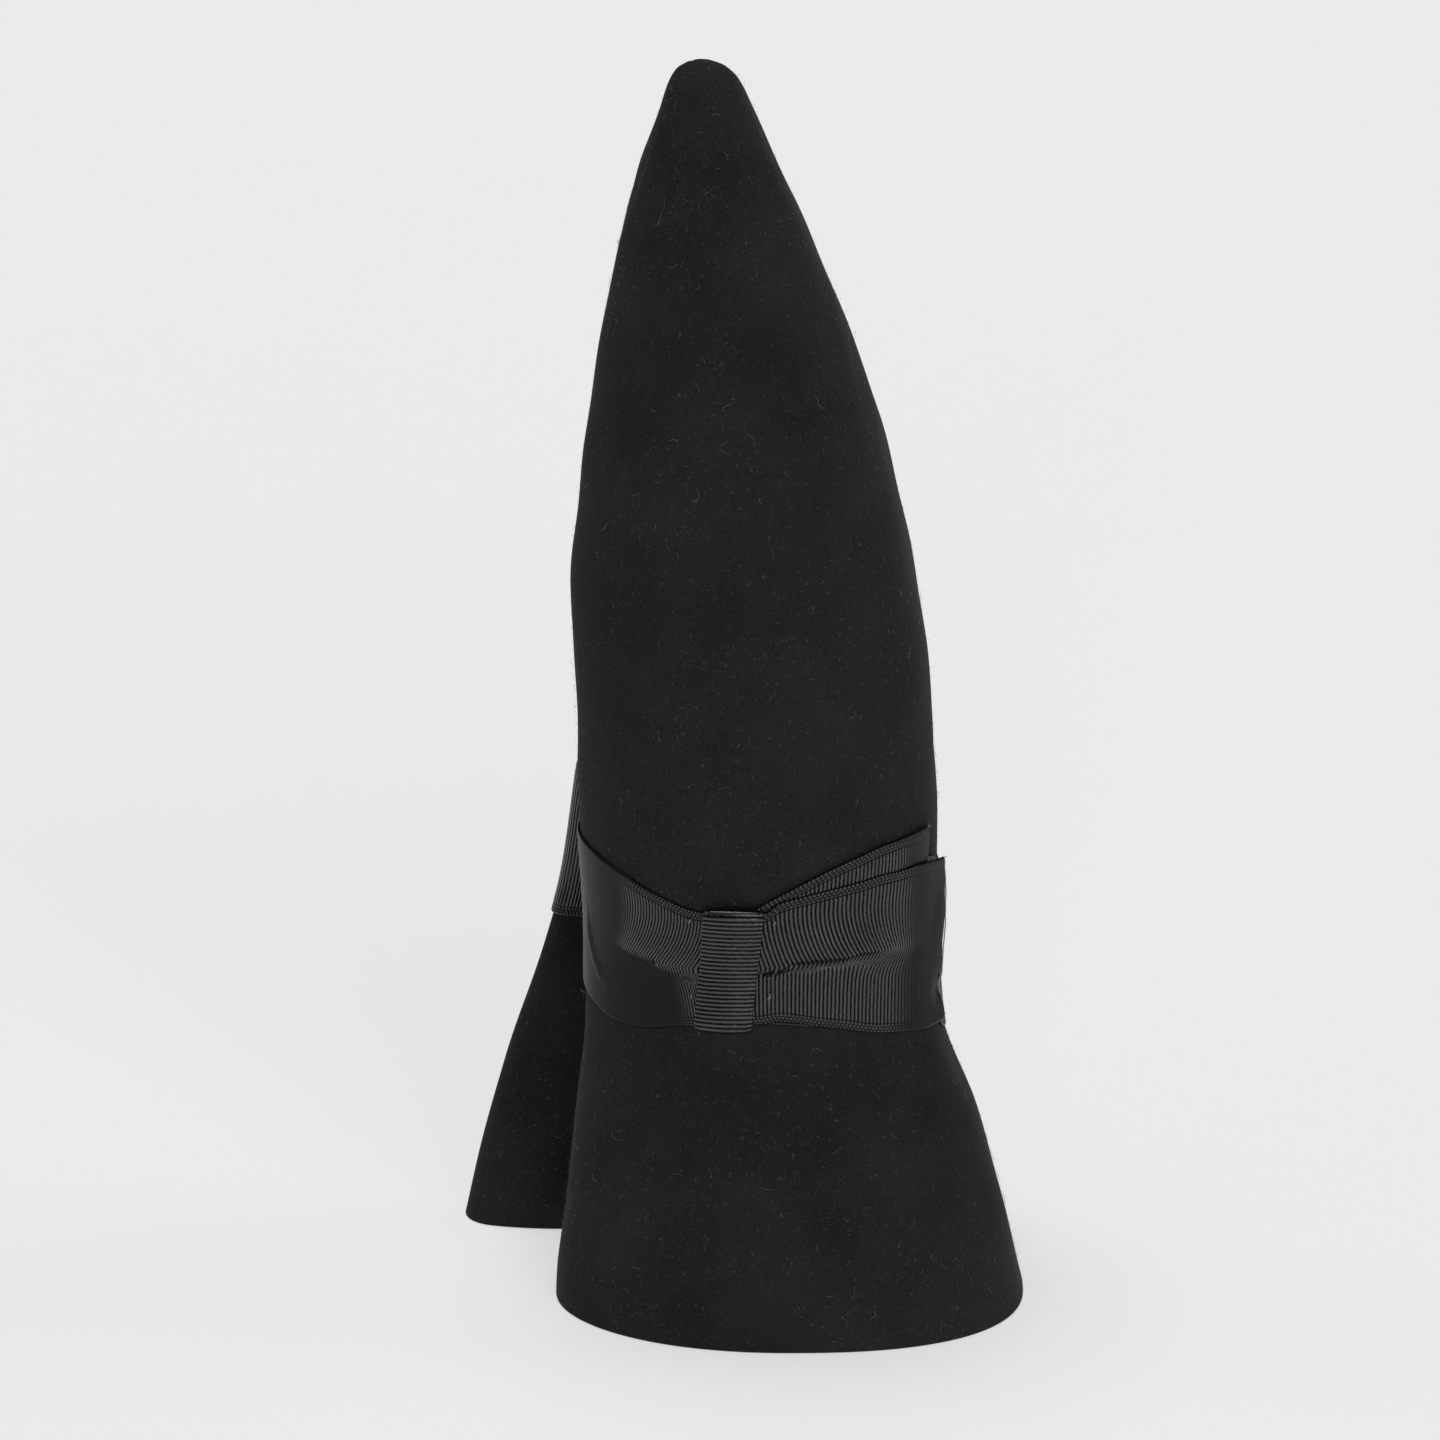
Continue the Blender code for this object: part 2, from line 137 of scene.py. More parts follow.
@dataclass(frozen=True)
class Roll:
    """The folded sheet, rolled into a cone. All pieces of the hat read their places from it."""

    levels: tuple[Level, ...] = LEVELS
    tip: tuple[float, float, float] = (-0.0081, 0.0050, 0.2601)
    centring: tuple[float, float] = (-0.0004, -0.0007)
    fullness_left: float = 2.1
    fullness_right: float = 2.45
    tuck_pitch: float = 0.0105
    tuck_share_of_width: float = 0.5
    tuck_from: float = -70.0
    tuck_to: float = -165.0
    tuck_share: float = 0.27
    tuck_start: float = -60.0
    flap_share: float = 0.22
    flap_pulls: tuple[float, float] = (0.40, 0.35)
    swell_from: float = 0.74
    taper_to: float = 0.15
    length_per_share: float = 0.26

    def level(self, name: str, z: np.ndarray) -> np.ndarray:
        """A column of the level table, read at the heights z through a smooth curve."""
        return smooth_curve(z, column(self.levels, "height"), column(self.levels, name))

    def half_thickness(self, share: np.ndarray, z: np.ndarray) -> np.ndarray:
        """Half the sheet's thickness: even, swelling to the free fold and thinning to the tucked one."""
        half, end = self.level("half", z), self.level("end_half", z)
        return (half + (end - half) * ramp((share - self.swell_from) / (1 - self.swell_from))
                + (np.minimum(end, half) - half) * ramp(1 - share / self.taper_to))

    def turn_at(self, share: np.ndarray, z: np.ndarray) -> np.ndarray:
        """Degrees from the front of a point of the roll, negative to the left."""
        first = self.level("tuck_turn", z)
        tucked = first + (self.tuck_start - first) * share / self.tuck_share
        span = 1 - self.flap_share - self.tuck_share
        rolled = self.tuck_start + (180 - self.tuck_start) * (share - self.tuck_share) / span
        return np.where(share < self.tuck_share, tucked, np.minimum(rolled, 180))

    def share_at(self, turn: np.ndarray) -> np.ndarray:
        """The share at turn degrees from the front; past the front and back it goes on in proportion."""
        span = 1 - self.flap_share - self.tuck_share
        return self.tuck_share + span * (turn - self.tuck_start) / (180 - self.tuck_start)

    def middle(self, share: np.ndarray, z: np.ndarray) -> tuple[np.ndarray, np.ndarray]:
        """The middle of the sheet's thickness.

        The roll is a rounded outline in polar form: one over the sum of |sin / across|^p and
        |cos / along|^p, to the power 1/p, moved inwards where it is tucked. The free end is a cubic
        Bezier curve from the back of the roll.

        Args:
            share: place along the sheet.
            z: height.

        Returns:
            X and Y before the centring.
        """
        half = self.level("half", z)
        left, right, front, back = (self.level(side, z) for side in ("left", "right", "front", "back"))
        widest = self.level("widest", z)
        centre, across = (left + right) / 2, (right - left) / 2 - half
        turn = self.turn_at(share, z)
        sine, cosine = np.sin(np.radians(turn)), np.cos(np.radians(turn))
        along = np.where(cosine > 0, widest - front, back - widest) - half
        power = np.where(sine > 0, self.fullness_right, self.fullness_left)
        radius = (np.abs(sine / across) ** power + np.abs(cosine / along) ** power) ** (-1 / power)
        pitch = np.minimum(self.tuck_pitch, self.tuck_share_of_width * across)
        radius = radius - pitch * ramp((self.tuck_from - turn) / (self.tuck_from - self.tuck_to))

        end_x, end_y = self.level("flap_x", z), self.level("flap_y", z)
        start_x, start_y = centre, back - half
        reach = np.hypot(end_x - start_x, end_y - start_y)
        heading = np.radians(self.level("flap_heading", z))
        leave, arrive = self.flap_pulls
        handles_x = (start_x, start_x - leave * reach, end_x + arrive * reach * np.cos(heading), end_x)
        handles_y = (start_y, start_y, end_y + arrive * reach * np.sin(heading), end_y)
        q = np.clip((share - 1 + self.flap_share) / self.flap_share, 0, 1)
        weights = ((1 - q)**3, 3 * (1 - q)**2 * q, 3 * (1 - q) * q**2, q**3)
        flap_x = sum(w * x for w, x in zip(weights, handles_x))
        flap_y = sum(w * y for w, y in zip(weights, handles_y))
        on_flap = share > 1 - self.flap_share
        return (np.where(on_flap, flap_x, centre + radius * sine),
                np.where(on_flap, flap_y, widest - radius * cosine))

    def skin(self, share: np.ndarray, forward: np.ndarray, outward: np.ndarray, z: np.ndarray,
             lift: np.ndarray) -> np.ndarray:
        """Points outside the folded sheet.

        Point = middle + (half thickness + lift) * (outward * side direction + forward * path direction).

        Args:
            share: place along the sheet.
            forward: cosine of the way round the thickness, not 0 only at the two folds.
            outward: sine of it, 1 on the outer side and -1 on the inner one.
            z: height.
            lift: distance outside the felt, negative inside it.

        Returns:
            XYZ along a new last axis.
        """
        share, forward, outward, z, lift = np.broadcast_arrays(share, forward, outward, z, lift)
        nudge = 1e-3
        x0, y0 = self.middle(np.clip(share - nudge, 0, 1), z)
        x1, y1 = self.middle(np.clip(share + nudge, 0, 1), z)
        length = np.hypot(x1 - x0, y1 - y0)
        along_x, along_y = (x1 - x0) / length, (y1 - y0) / length
        x, y = self.middle(share, z)
        reach = self.half_thickness(share, z) + lift
        return np.stack((x + reach * (outward * along_y + forward * along_x) + self.centring[0],
                         y + reach * (forward * along_y - outward * along_x) + self.centring[1], z), -1)

    def loop(self, side_points: int, fold_points: int) -> tuple[np.ndarray, np.ndarray, np.ndarray]:
        """share, forward and outward once round the sheet: outer side, free fold, inner side, tucked fold."""
        side = np.linspace(0, 1, side_points)
        angle = np.linspace(np.pi / 2, -np.pi / 2, fold_points + 2)[1:-1]
        share = np.concatenate((side, np.ones(fold_points), side[::-1], np.zeros(fold_points)))
        flat, one = np.zeros(side_points), np.ones(side_points)
        forward = np.concatenate((flat, np.cos(angle), flat, -np.cos(angle)))
        outward = np.concatenate((one, np.sin(angle), -one, -np.sin(angle)))
        return share, forward, outward


ROLL = Roll()


@dataclass
class Shell:
    """A surface as arrays, before it becomes a mesh.

    points holds one corner a row and faces holds arrays of corner numbers (the faces of one array all have
    the same number of corners). weave holds four numbers for each corner: ribs along the ribbon, metres
    across it, metres in from its nearest edge and how far its ribs are pressed smooth. For threads the first
    is the thread's tone, which on the cut lines and on the lighter stitch of each tack is a painted
    highlight.
    """

    points: np.ndarray
    faces: list[np.ndarray]
    weave: np.ndarray

    def piece(self, name: str, material: bpy.types.Material, slot: str) -> bpy.types.Object:
        """Makes the shell an object of the hat.

        Args:
            name: the piece's name.
            material: its finish.
            slot: not used.

        Returns:
            The new object, which rides on the hat's one body.
        """
        sizes = np.concatenate([np.full(len(f), f.shape[1]) for f in self.faces])
        corners = np.concatenate([f.reshape(-1) for f in self.faces]).astype(np.int32)
        starts = np.concatenate(([0], np.cumsum(sizes)[:-1])).astype(np.int32)
        mesh = bpy.data.meshes.new(name)
        mesh.vertices.add(len(self.points))
        mesh.vertices.foreach_set("co", self.points.astype(np.float32).reshape(-1))
        mesh.loops.add(len(corners))
        mesh.loops.foreach_set("vertex_index", corners)
        mesh.polygons.add(len(sizes))
        mesh.polygons.foreach_set("loop_start", starts)
        mesh.polygons.foreach_set("use_smooth", np.ones(len(sizes), bool))
        mesh.update(calc_edges=True)
        for name_of_map, columns in (("weave", (0, 1)), ("edge", (2, 3))):
            layer = mesh.uv_layers.new(name=name_of_map)
            layer.data.foreach_set("uv", self.weave[corners][:, columns].astype(np.float32).reshape(-1))
        mesh.validate()
        mesh.materials.append(material)
        obj = bpy.data.objects.new(name, mesh)
        bpy.context.scene.collection.objects.link(obj)
        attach(obj, "root")
        mesh.calc_loop_triangles()
        log.info("%s: %d triangles", name, len(mesh.loop_triangles))
        return obj


def joined(shells: Sequence[Shell]) -> Shell:
    """Several shells as one, with their corner numbers moved on."""
    starts = np.cumsum([0] + [len(s.points) for s in shells[:-1]])
    faces = [f + start for s, start in zip(shells, starts) for f in s.faces]
    return Shell(np.concatenate([s.points for s in shells]), faces, np.concatenate([s.weave for s in shells]))


def ring_faces(number: np.ndarray, flip: bool) -> np.ndarray:
    """Quads between each row of corner numbers and the next, closed round every row."""
    a, b = number[:-1], number[1:]
    quads = np.stack((a, b, np.roll(b, -1, -1), np.roll(a, -1, -1)), -1).reshape(-1, 4)
    return quads[:, ::-1] if flip else quads


def loft(points: np.ndarray, weave: np.ndarray, flip: bool = False) -> Shell:
    """A tube through rows of loops, with a flat cap at both ends.

    Args:
        points: rows, corners round the loop, XYZ.
        weave: rows, corners round the loop, the four numbers of Shell.weave.
        flip: turns the faces round.

    Returns:
        The closed shell.
    """
    rows, loop = points.shape[:2]
    number = np.arange(rows * loop).reshape(rows, loop)
    caps = np.stack((number[0], number[-1][::-1]))
    return Shell(points.reshape(-1, 3), [ring_faces(number, flip), caps[:, ::-1] if flip else caps],
                 weave.reshape(-1, 4))


def threads(paths: np.ndarray, radius: np.ndarray, sides: int = 3, tone: "np.ndarray | float" = 0.5) -> Shell:
    """Thin round threads along paths, each closed with a point at its far end and a face at its root.

    A corner is the path's point plus the radius times (cos a * first normal + sin a * second normal), where
    the normals are square to the thread's chord.

    Args:
        paths: threads, stations, XYZ.
        radius: threads, stations before the last.
        sides: corners round the thread.
        tone: 0 for the darkest thread to 1 for the lightest.

    Returns:
        One shell with all the threads.
    """
    count, stations = paths.shape[:2]
    chord = paths[:, -1] - paths[:, 0]
    chord /= np.linalg.norm(chord, axis=-1, keepdims=True)
    helper = np.where(np.abs(chord[:, 2:]) < 0.8, [[0.0, 0.0, 1.0]], [[1.0, 0.0, 0.0]])
    first = np.cross(chord, helper)
    first /= np.linalg.norm(first, axis=-1, keepdims=True)
    second = np.cross(chord, first)
    angle = 2 * np.pi * np.arange(sides) / sides
    ring = (np.cos(angle)[None, :, None] * first[:, None] + np.sin(angle)[None, :, None] * second[:, None])
    tube = paths[:, :-1, None] + radius[:, :, None, None] * ring[:, None]
    per = (stations - 1) * sides + 1
    points = np.concatenate((tube.reshape(count, -1, 3), paths[:, -1:]), 1)
    number = np.arange(per - 1).reshape(stations - 1, sides)
    start = (np.arange(count) * per)[:, None, None]
    quads = (ring_faces(number, True)[None] + start).reshape(-1, 4)
    last = number[-1]
    tips = np.stack((last, np.roll(last, -1), np.full(sides, per - 1)), -1)
    tips = (tips[None] + start).reshape(-1, 3)
    roots = (number[0][::-1][None, None] + start).reshape(-1, sides)
    faces = [quads, tips, roots] if stations > 2 else [tips, roots]
    weave = np.zeros((count, per, 4))
    weave[:, :, 0] = np.broadcast_to(tone, count)[:, None]
    return Shell(points.reshape(-1, 3), faces, weave.reshape(-1, 4))


class Wire:
    """A value inside a node tree that Python's operators work on, each one adding a Math node."""

    def __init__(self, tree: "Tree", socket: bpy.types.NodeSocket) -> None:
        """Keeps the tree and the socket that carries the value."""
        self.tree = tree
        self.socket = socket

    def maths(self, operation: str, *others: "Wire | float", first: "Wire | float | None" = None) -> "Wire":
        """One Math node on this value, or on first, and the others."""
        values = {0: self if first is None else first}
        values.update({i + 1: other for i, other in enumerate(others)})
        return self.tree.node("ShaderNodeMath", {"operation": operation}, values)

    def __add__(self, other: "Wire | float") -> "Wire":
        """Sum."""
        return self.maths("ADD", other)

    def __sub__(self, other: "Wire | float") -> "Wire":
        """Difference."""
        return self.maths("SUBTRACT", other)

    def __mul__(self, other: "Wire | float") -> "Wire":
        """Product."""
        return self.maths("MULTIPLY", other)

    def __truediv__(self, other: "Wire | float") -> "Wire":
        """Quotient."""
        return self.maths("DIVIDE", other)

    def __rsub__(self, other: "Wire | float") -> "Wire":
        """Reflected difference."""
        return self.maths("SUBTRACT", self, first=other)

    __radd__ = __add__
    __rmul__ = __mul__

    def clamped(self, low: float, high: float) -> "Wire":
        """0 at low, 1 at high, straight between and flat outside."""
        return self.tree.node("ShaderNodeMapRange", {"clamp": True}, {0: self, 1: low, 2: high})

    def wave(self) -> "Wire":
        """A cosine-like wave from 0 to 1 as the value passes each whole number."""
        return (self * (2 * np.pi)).maths("COSINE") * 0.5 + 0.5


class Tree:
    """The node tree of one material."""

    def __init__(self, name: str) -> None:
        """Makes a material with an empty Principled shader."""
        self.material = bpy.data.materials.new(name)
        self.material.use_nodes = True
        self.nodes = self.material.node_tree.nodes
        self.links = self.material.node_tree.links
        self.shader = self.nodes["Principled BSDF"]

    def node(self, kind: str, settings: dict | None = None, values: dict | None = None,
             output: int | str = 0) -> Wire:
        """Adds a node.

        Args:
            kind: its type.
            settings: its own properties, set first.
            values: its input sockets by number or name: a number, a tuple or a Wire.
            output: which output is returned.

        Returns:
            The output as a Wire.
        """
        made = self.nodes.new(kind)
        for key, value in (settings or {}).items():
            setattr(made, key, value)
        self.feed(made, values or {})
        return Wire(self, made.outputs[output])

    def feed(self, made: bpy.types.Node, values: dict) -> None:
        """Sets or links input sockets of a node."""
        for key, value in values.items():
            if isinstance(value, Wire):
                self.links.new(value.socket, made.inputs[key])
            else:
                made.inputs[key].default_value = value

    def uv(self, name: str) -> tuple[Wire, Wire]:
        """Both values of one of the piece's UV maps."""
        both = self.node("ShaderNodeUVMap", {"uv_map": name}, output="UV")
        first = self.node("ShaderNodeSeparateXYZ", None, {"Vector": both})
        return first, Wire(self, first.socket.node.outputs["Y"])

    def noise(self, where: Wire, scale: float, detail: float = 2.0, roughness: float = 0.5) -> Wire:
        """A Noise texture's value, its scale in waves a metre."""
        return self.node("ShaderNodeTexNoise", {"noise_dimensions": "3D"},
                         {"Vector": where, "Scale": scale, "Detail": detail, "Roughness": roughness})

    def mix(self, factor: Wire, dark: "Sequence[float] | Wire", light: Sequence[float]) -> Wire:
        """A colour between two."""
        start = dark if isinstance(dark, Wire) else (*dark, 1.0)
        return self.node("ShaderNodeMix", {"data_type": "RGBA"}, {0: factor, 6: start, 7: (*light, 1.0)}, 2)

    def bump(self, height: Wire, strength: float, distance: float) -> Wire:
        """The normal over a relief of the given depth in metres."""
        values = {"Strength": strength, "Distance": distance, "Height": height}
        return self.node("ShaderNodeBump", None, values)


@dataclass(frozen=True)
class FeltFinish:
    """Matt black wool felt with short curly fibres that catch the light."""

    name: str = "black_wool_felt_fibres"
    dark: tuple[float, float, float] = (0.0104, 0.0101, 0.0114)
    light: tuple[float, float, float] = (0.0226, 0.0219, 0.0244)
    fibre: tuple[float, float, float] = (0.085, 0.083, 0.092)
    fibre_scale: float = 420.0
    fibre_band: float = 0.014
    fibre_stretches: tuple[tuple[float, float, float], ...] = ((1.0, 1.0, 1.6), (1.5, 1.2, 0.8))
    fibre_share: float = 0.55
    patch_scale: float = 900.0
    patch_range: tuple[float, float] = (0.55, 0.66)
    grain_scale: float = 2600.0
    cloud_scale: float = 55.0
    cloud_share: float = 0.4
    tone_range: tuple[float, float] = (0.35, 0.65)
    fibre_relief: float = 0.45
    relief_strength: float = 0.55
    relief_depth: float = 0.00012
    roughness: float = 0.95
    specular: float = 0.10
    sheen: float = 0.03
    sheen_roughness: float = 0.45

    def material(self) -> bpy.types.Material:
        """Builds the finish.

        Curly fibres are the thin contour lines of two fields of noise, kept only in patches. The colour
        goes from dark to light with clouds and fine grain, and to the fibre colour on the lines.
        """
        tree = Tree(self.name)
        where = tree.node("ShaderNodeTexCoord", output="Object")
        grain = tree.noise(where, self.grain_scale, 3.0, 0.7)
        cloud = tree.noise(where, self.cloud_scale, 3.0)
        lines = None
        for number, stretch in enumerate(self.fibre_stretches):
            turned = tree.node("ShaderNodeMapping", None,
                               {"Vector": where, "Location": (0.37 * number, 0.11, 0.0), "Scale": stretch})
            field = tree.noise(turned, self.fibre_scale, 1.5, 0.45)
            line = 1.0 - (field - 0.5).maths("ABSOLUTE").clamped(0.0, self.fibre_band)
            patch = tree.noise(turned, self.patch_scale, 1.0).clamped(*self.patch_range)
            lines = line * patch if lines is None else lines.maths("MAXIMUM", line * patch)
        tone = (grain * (1 - self.cloud_share) + cloud * self.cloud_share).clamped(*self.tone_range)
        body = tree.mix(tone, self.dark, self.light)
        relief = grain * (1 - self.fibre_relief) + lines * self.fibre_relief
        tree.feed(tree.shader, {
            "Base Color": tree.mix(lines * self.fibre_share, body, self.fibre),
            "Roughness": self.roughness,
            "Normal": tree.bump(relief, self.relief_strength, self.relief_depth),
            "Specular IOR Level": self.specular,
            "Sheen Weight": self.sheen,
            "Sheen Roughness": self.sheen_roughness,
        })
        return tree.material


@dataclass(frozen=True)
class RibbonFinish:
    """Black grosgrain: smooth filaments over thick wefts, with painted shade in the grooves and a painted
    highlight on the ridges.
    """

    name: str = "black_grosgrain_ribs"
    # groove is the painted shade colour of the grooves; ridge is the lighter painted highlight colour of the
    # ridges.
    groove: tuple[float, float, float] = (0.0012, 0.0012, 0.0013)
    ridge: tuple[float, float, float] = (0.0200, 0.0200, 0.0205)
    pressed: float = 0.16
    uneven_scale: float = 1500.0
    wobble: float = 0.35
    rib_range: tuple[float, float] = (0.16, 0.80)
    chain_range: tuple[float, float] = (0.05, 0.95)
    row_shade_width: float = 0.40
    edge_groove_shade_range: tuple[float, float] = (0.00008, 0.00026)
    yarn_pitch: float = 0.00016
    yarn_relief: float = 0.00005
    selvedge: float = 0.0019
    braid_pitch: float = 0.00064
    roughness: float = 0.42
    specular: float = 0.06
    coat_roughness: float = 0.24
    coat_ior: float = 1.64

    def material(self) -> bpy.types.Material:
        """Builds the finish.

        The tone is a wave over the ribs, 1 on a ridge and 0 in a groove, so the colour paints shade into the
        grooves and a highlight onto the ridges. In the woven edges it is a wave that jumps by half a rib from
        row to row, with a dark line of painted shade between the rows and in the groove beside the woven
        edge. Where the ribbon is pressed smooth the tone is even. Colour and the gloss of the clear coat both
        follow the tone.
        """
        tree = Tree(self.name)
        along, across = tree.uv("weave")
        inward, smooth = tree.uv("edge")
        where = tree.node("ShaderNodeTexCoord", output="Object")
        uneven = tree.noise(where, self.uneven_scale, 2.0)
        wobble = (uneven - 0.5) * self.wobble
        # Rib wave of the colour: painted shade in each groove, painted highlight on each ridge.
        ribs = (along + wobble).wave().clamped(*self.rib_range)
        row = (inward / self.braid_pitch).maths("FLOOR")
        chain = (along + row * 0.5 + wobble).wave().clamped(*self.chain_range) * 0.75 + 0.15
        # Dark line between the braid rows: painted shade.
        between = (inward / self.braid_pitch + 0.5).wave().clamped(0.0, self.row_shade_width)
        inside = (inward - self.selvedge).clamped(-0.0001, 0.0001)
        # Dark line in the groove beside the woven edge: painted shade.
        edge_groove_shade = (inward - self.selvedge).maths("ABSOLUTE").clamped(*self.edge_groove_shade_range)
        rib_shade_and_braid_tone = chain * between * (1.0 - inside) + ribs * inside * edge_groove_shade
        flat = smooth * self.pressed * (uneven * 0.3 + 0.85)
        tone = (rib_shade_and_braid_tone * (1.0 - smooth) + flat).clamped(0.0, 1.0)
        yarns = (across / self.yarn_pitch + uneven * 1.5).wave()
        tree.feed(tree.shader, {
            "Base Color": tree.mix(tone * (yarns * 0.2 + 0.8), self.groove, self.ridge),
            "Roughness": self.roughness,
            "Normal": tree.bump(yarns * 0.6 + uneven * 0.4, 0.35, self.yarn_relief),
            "Specular IOR Level": self.specular,
            "Coat Weight": tone,
            "Coat Roughness": self.coat_roughness,
            "Coat IOR": self.coat_ior,
        })
        return tree.material


@dataclass(frozen=True)
class ThreadFinish:
    """Loose threads and fibres, each with a tone of its own; on the cut lines and the lighter stitch of each
    tack the tone is a painted highlight.
    """

    name: str
    dark: tuple[float, float, float]
    light: tuple[float, float, float]
    roughness: float = 0.6

    def material(self) -> bpy.types.Material:
        """Builds the finish: a colour between dark and light by each thread's own tone."""
        tree = Tree(self.name)
        tone, _ = tree.uv("weave")
        tree.feed(tree.shader, {"Base Color": tree.mix(tone, self.dark, self.light),
                                "Roughness": self.roughness, "Specular IOR Level": 0.3})
        return tree.material


@dataclass(frozen=True)
class FeltBody:
    """The felt of the crown and brim: two walls, joined by the cut edge that the hat stands on."""

    wall: float = 0.0020
    wall_share: float = 2 / 3
    edge_round: float = 0.0005
    side_points: int = 250
    fold_points: int = 14
    rows: int = 140
    closing: float = 1.7
    hollow_rows: int = 10
    hollow_top: float = 0.2390
    top: float = 0.2598
    edge_steps: int = 4
    waviness: float = 0.00016
    wave_sizes: tuple[float, ...] = (0.045, 0.045, 0.03, 0.03, 0.02, 0.02, 0.013, 0.013)
    band_height: float = 0.079
    band_reach: float = 0.024
    band_fade: float = 0.012
    tip_fade: float = 0.03
    edge_fade: float = 0.006
    seed: int = 5

    def waves(self, share: np.ndarray, z: np.ndarray) -> np.ndarray:
        """Soft unevenness of the felt: a sum of sines of share and height with set directions."""
        random = np.random.default_rng(self.seed)
        total = np.zeros(np.broadcast(share, z).shape)
        for size in self.wave_sizes:
            heading, phase = random.uniform(0, 2 * np.pi, 2)
            along = share * ROLL.length_per_share * np.cos(heading) + z * np.sin(heading)
            total += (size / self.wave_sizes[0]) * np.sin(2 * np.pi * along / size + phase)
        free = ramp((np.abs(z - self.band_height) - self.band_reach) / self.band_fade)
        return self.waviness * total * free * ramp((self.top - z) / self.tip_fade) * ramp(z / self.edge_fade)

    def walls(self, share: np.ndarray, z: np.ndarray) -> np.ndarray:
        """Thickness of the felt's wall, thinner where the folded sheet is thin."""
        return np.minimum(self.wall, self.wall_share * ROLL.half_thickness(share, z))

    def shell(self) -> Shell:
        """The whole felt as one closed surface.

        Rings run from the top of the hollow down its inside, round the cut edge and up the outside to the
        tip, where they come closer together. The rounded edge is a quarter circle of lift and height at
        each of its corners.
        """
        share, forward, outward = ROLL.loop(self.side_points, self.fold_points)
        bend = np.linspace(0, np.pi / 2, self.edge_steps)
        down = np.linspace(self.hollow_top, self.edge_round, self.hollow_rows)
        corner_z = self.edge_round * (1 - np.sin(bend[1:]))
        up = self.top * (1 - (1 - np.linspace(0, 1, self.rows)) ** self.closing)
        up = self.edge_round + (up / self.top) * (self.top - self.edge_round)
        wall_low = self.walls(share, np.zeros_like(share))
        rings = [ROLL.skin(share, forward, outward, z, -self.walls(share, np.full_like(share, z)))
                 for z in down]
        for turn, z in zip(bend[1:], corner_z):
            inset = wall_low - self.edge_round * (1 - np.cos(turn))
            rings.append(ROLL.skin(share, forward, outward, z, -inset))
        for turn, z in zip(bend[::-1][:-1], corner_z[::-1]):
            rings.append(ROLL.skin(share, forward, outward, z, -self.edge_round * (1 - np.cos(turn))))
        for z in up:
            rings.append(ROLL.skin(share, forward, outward, z, self.waves(share, z) * (outward > 0)))
        points = np.stack(rings)
        count = len(share)
        number = np.arange(points.shape[0] * count).reshape(-1, count)
        quads = ring_faces(number, True)
        tip = points.shape[0] * count
        last = number[-1]
        fan = np.stack((last, np.roll(last, -1), np.full(count, tip)), -1)
        first = number[0]
        n, f = self.side_points, self.fold_points
        outer, inner = first[:n], first[n + f:2 * n + f][::-1]
        strip = np.stack((outer[1:], outer[:-1], inner[:-1], inner[1:]), -1)
        free = first[n - 1:n + f + 1][::-1][None]
        tucked = np.concatenate((first[2 * n + f - 1:], first[:1]))[::-1][None]
        top = np.array([[ROLL.tip[0] + ROLL.centring[0], ROLL.tip[1] + ROLL.centring[1], ROLL.tip[2]]])
        corners = np.concatenate((points.reshape(-1, 3), top))
        return Shell(corners, [quads, fan, strip, free, tucked], np.zeros((len(corners), 4)))

    def build(self, material: bpy.types.Material) -> bpy.types.Object:
        """Makes the felt and hides the plain solid that it stands for."""
        felt = self.shell().piece("felt_surface", material, "felt")
        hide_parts("felt_body")
        return felt


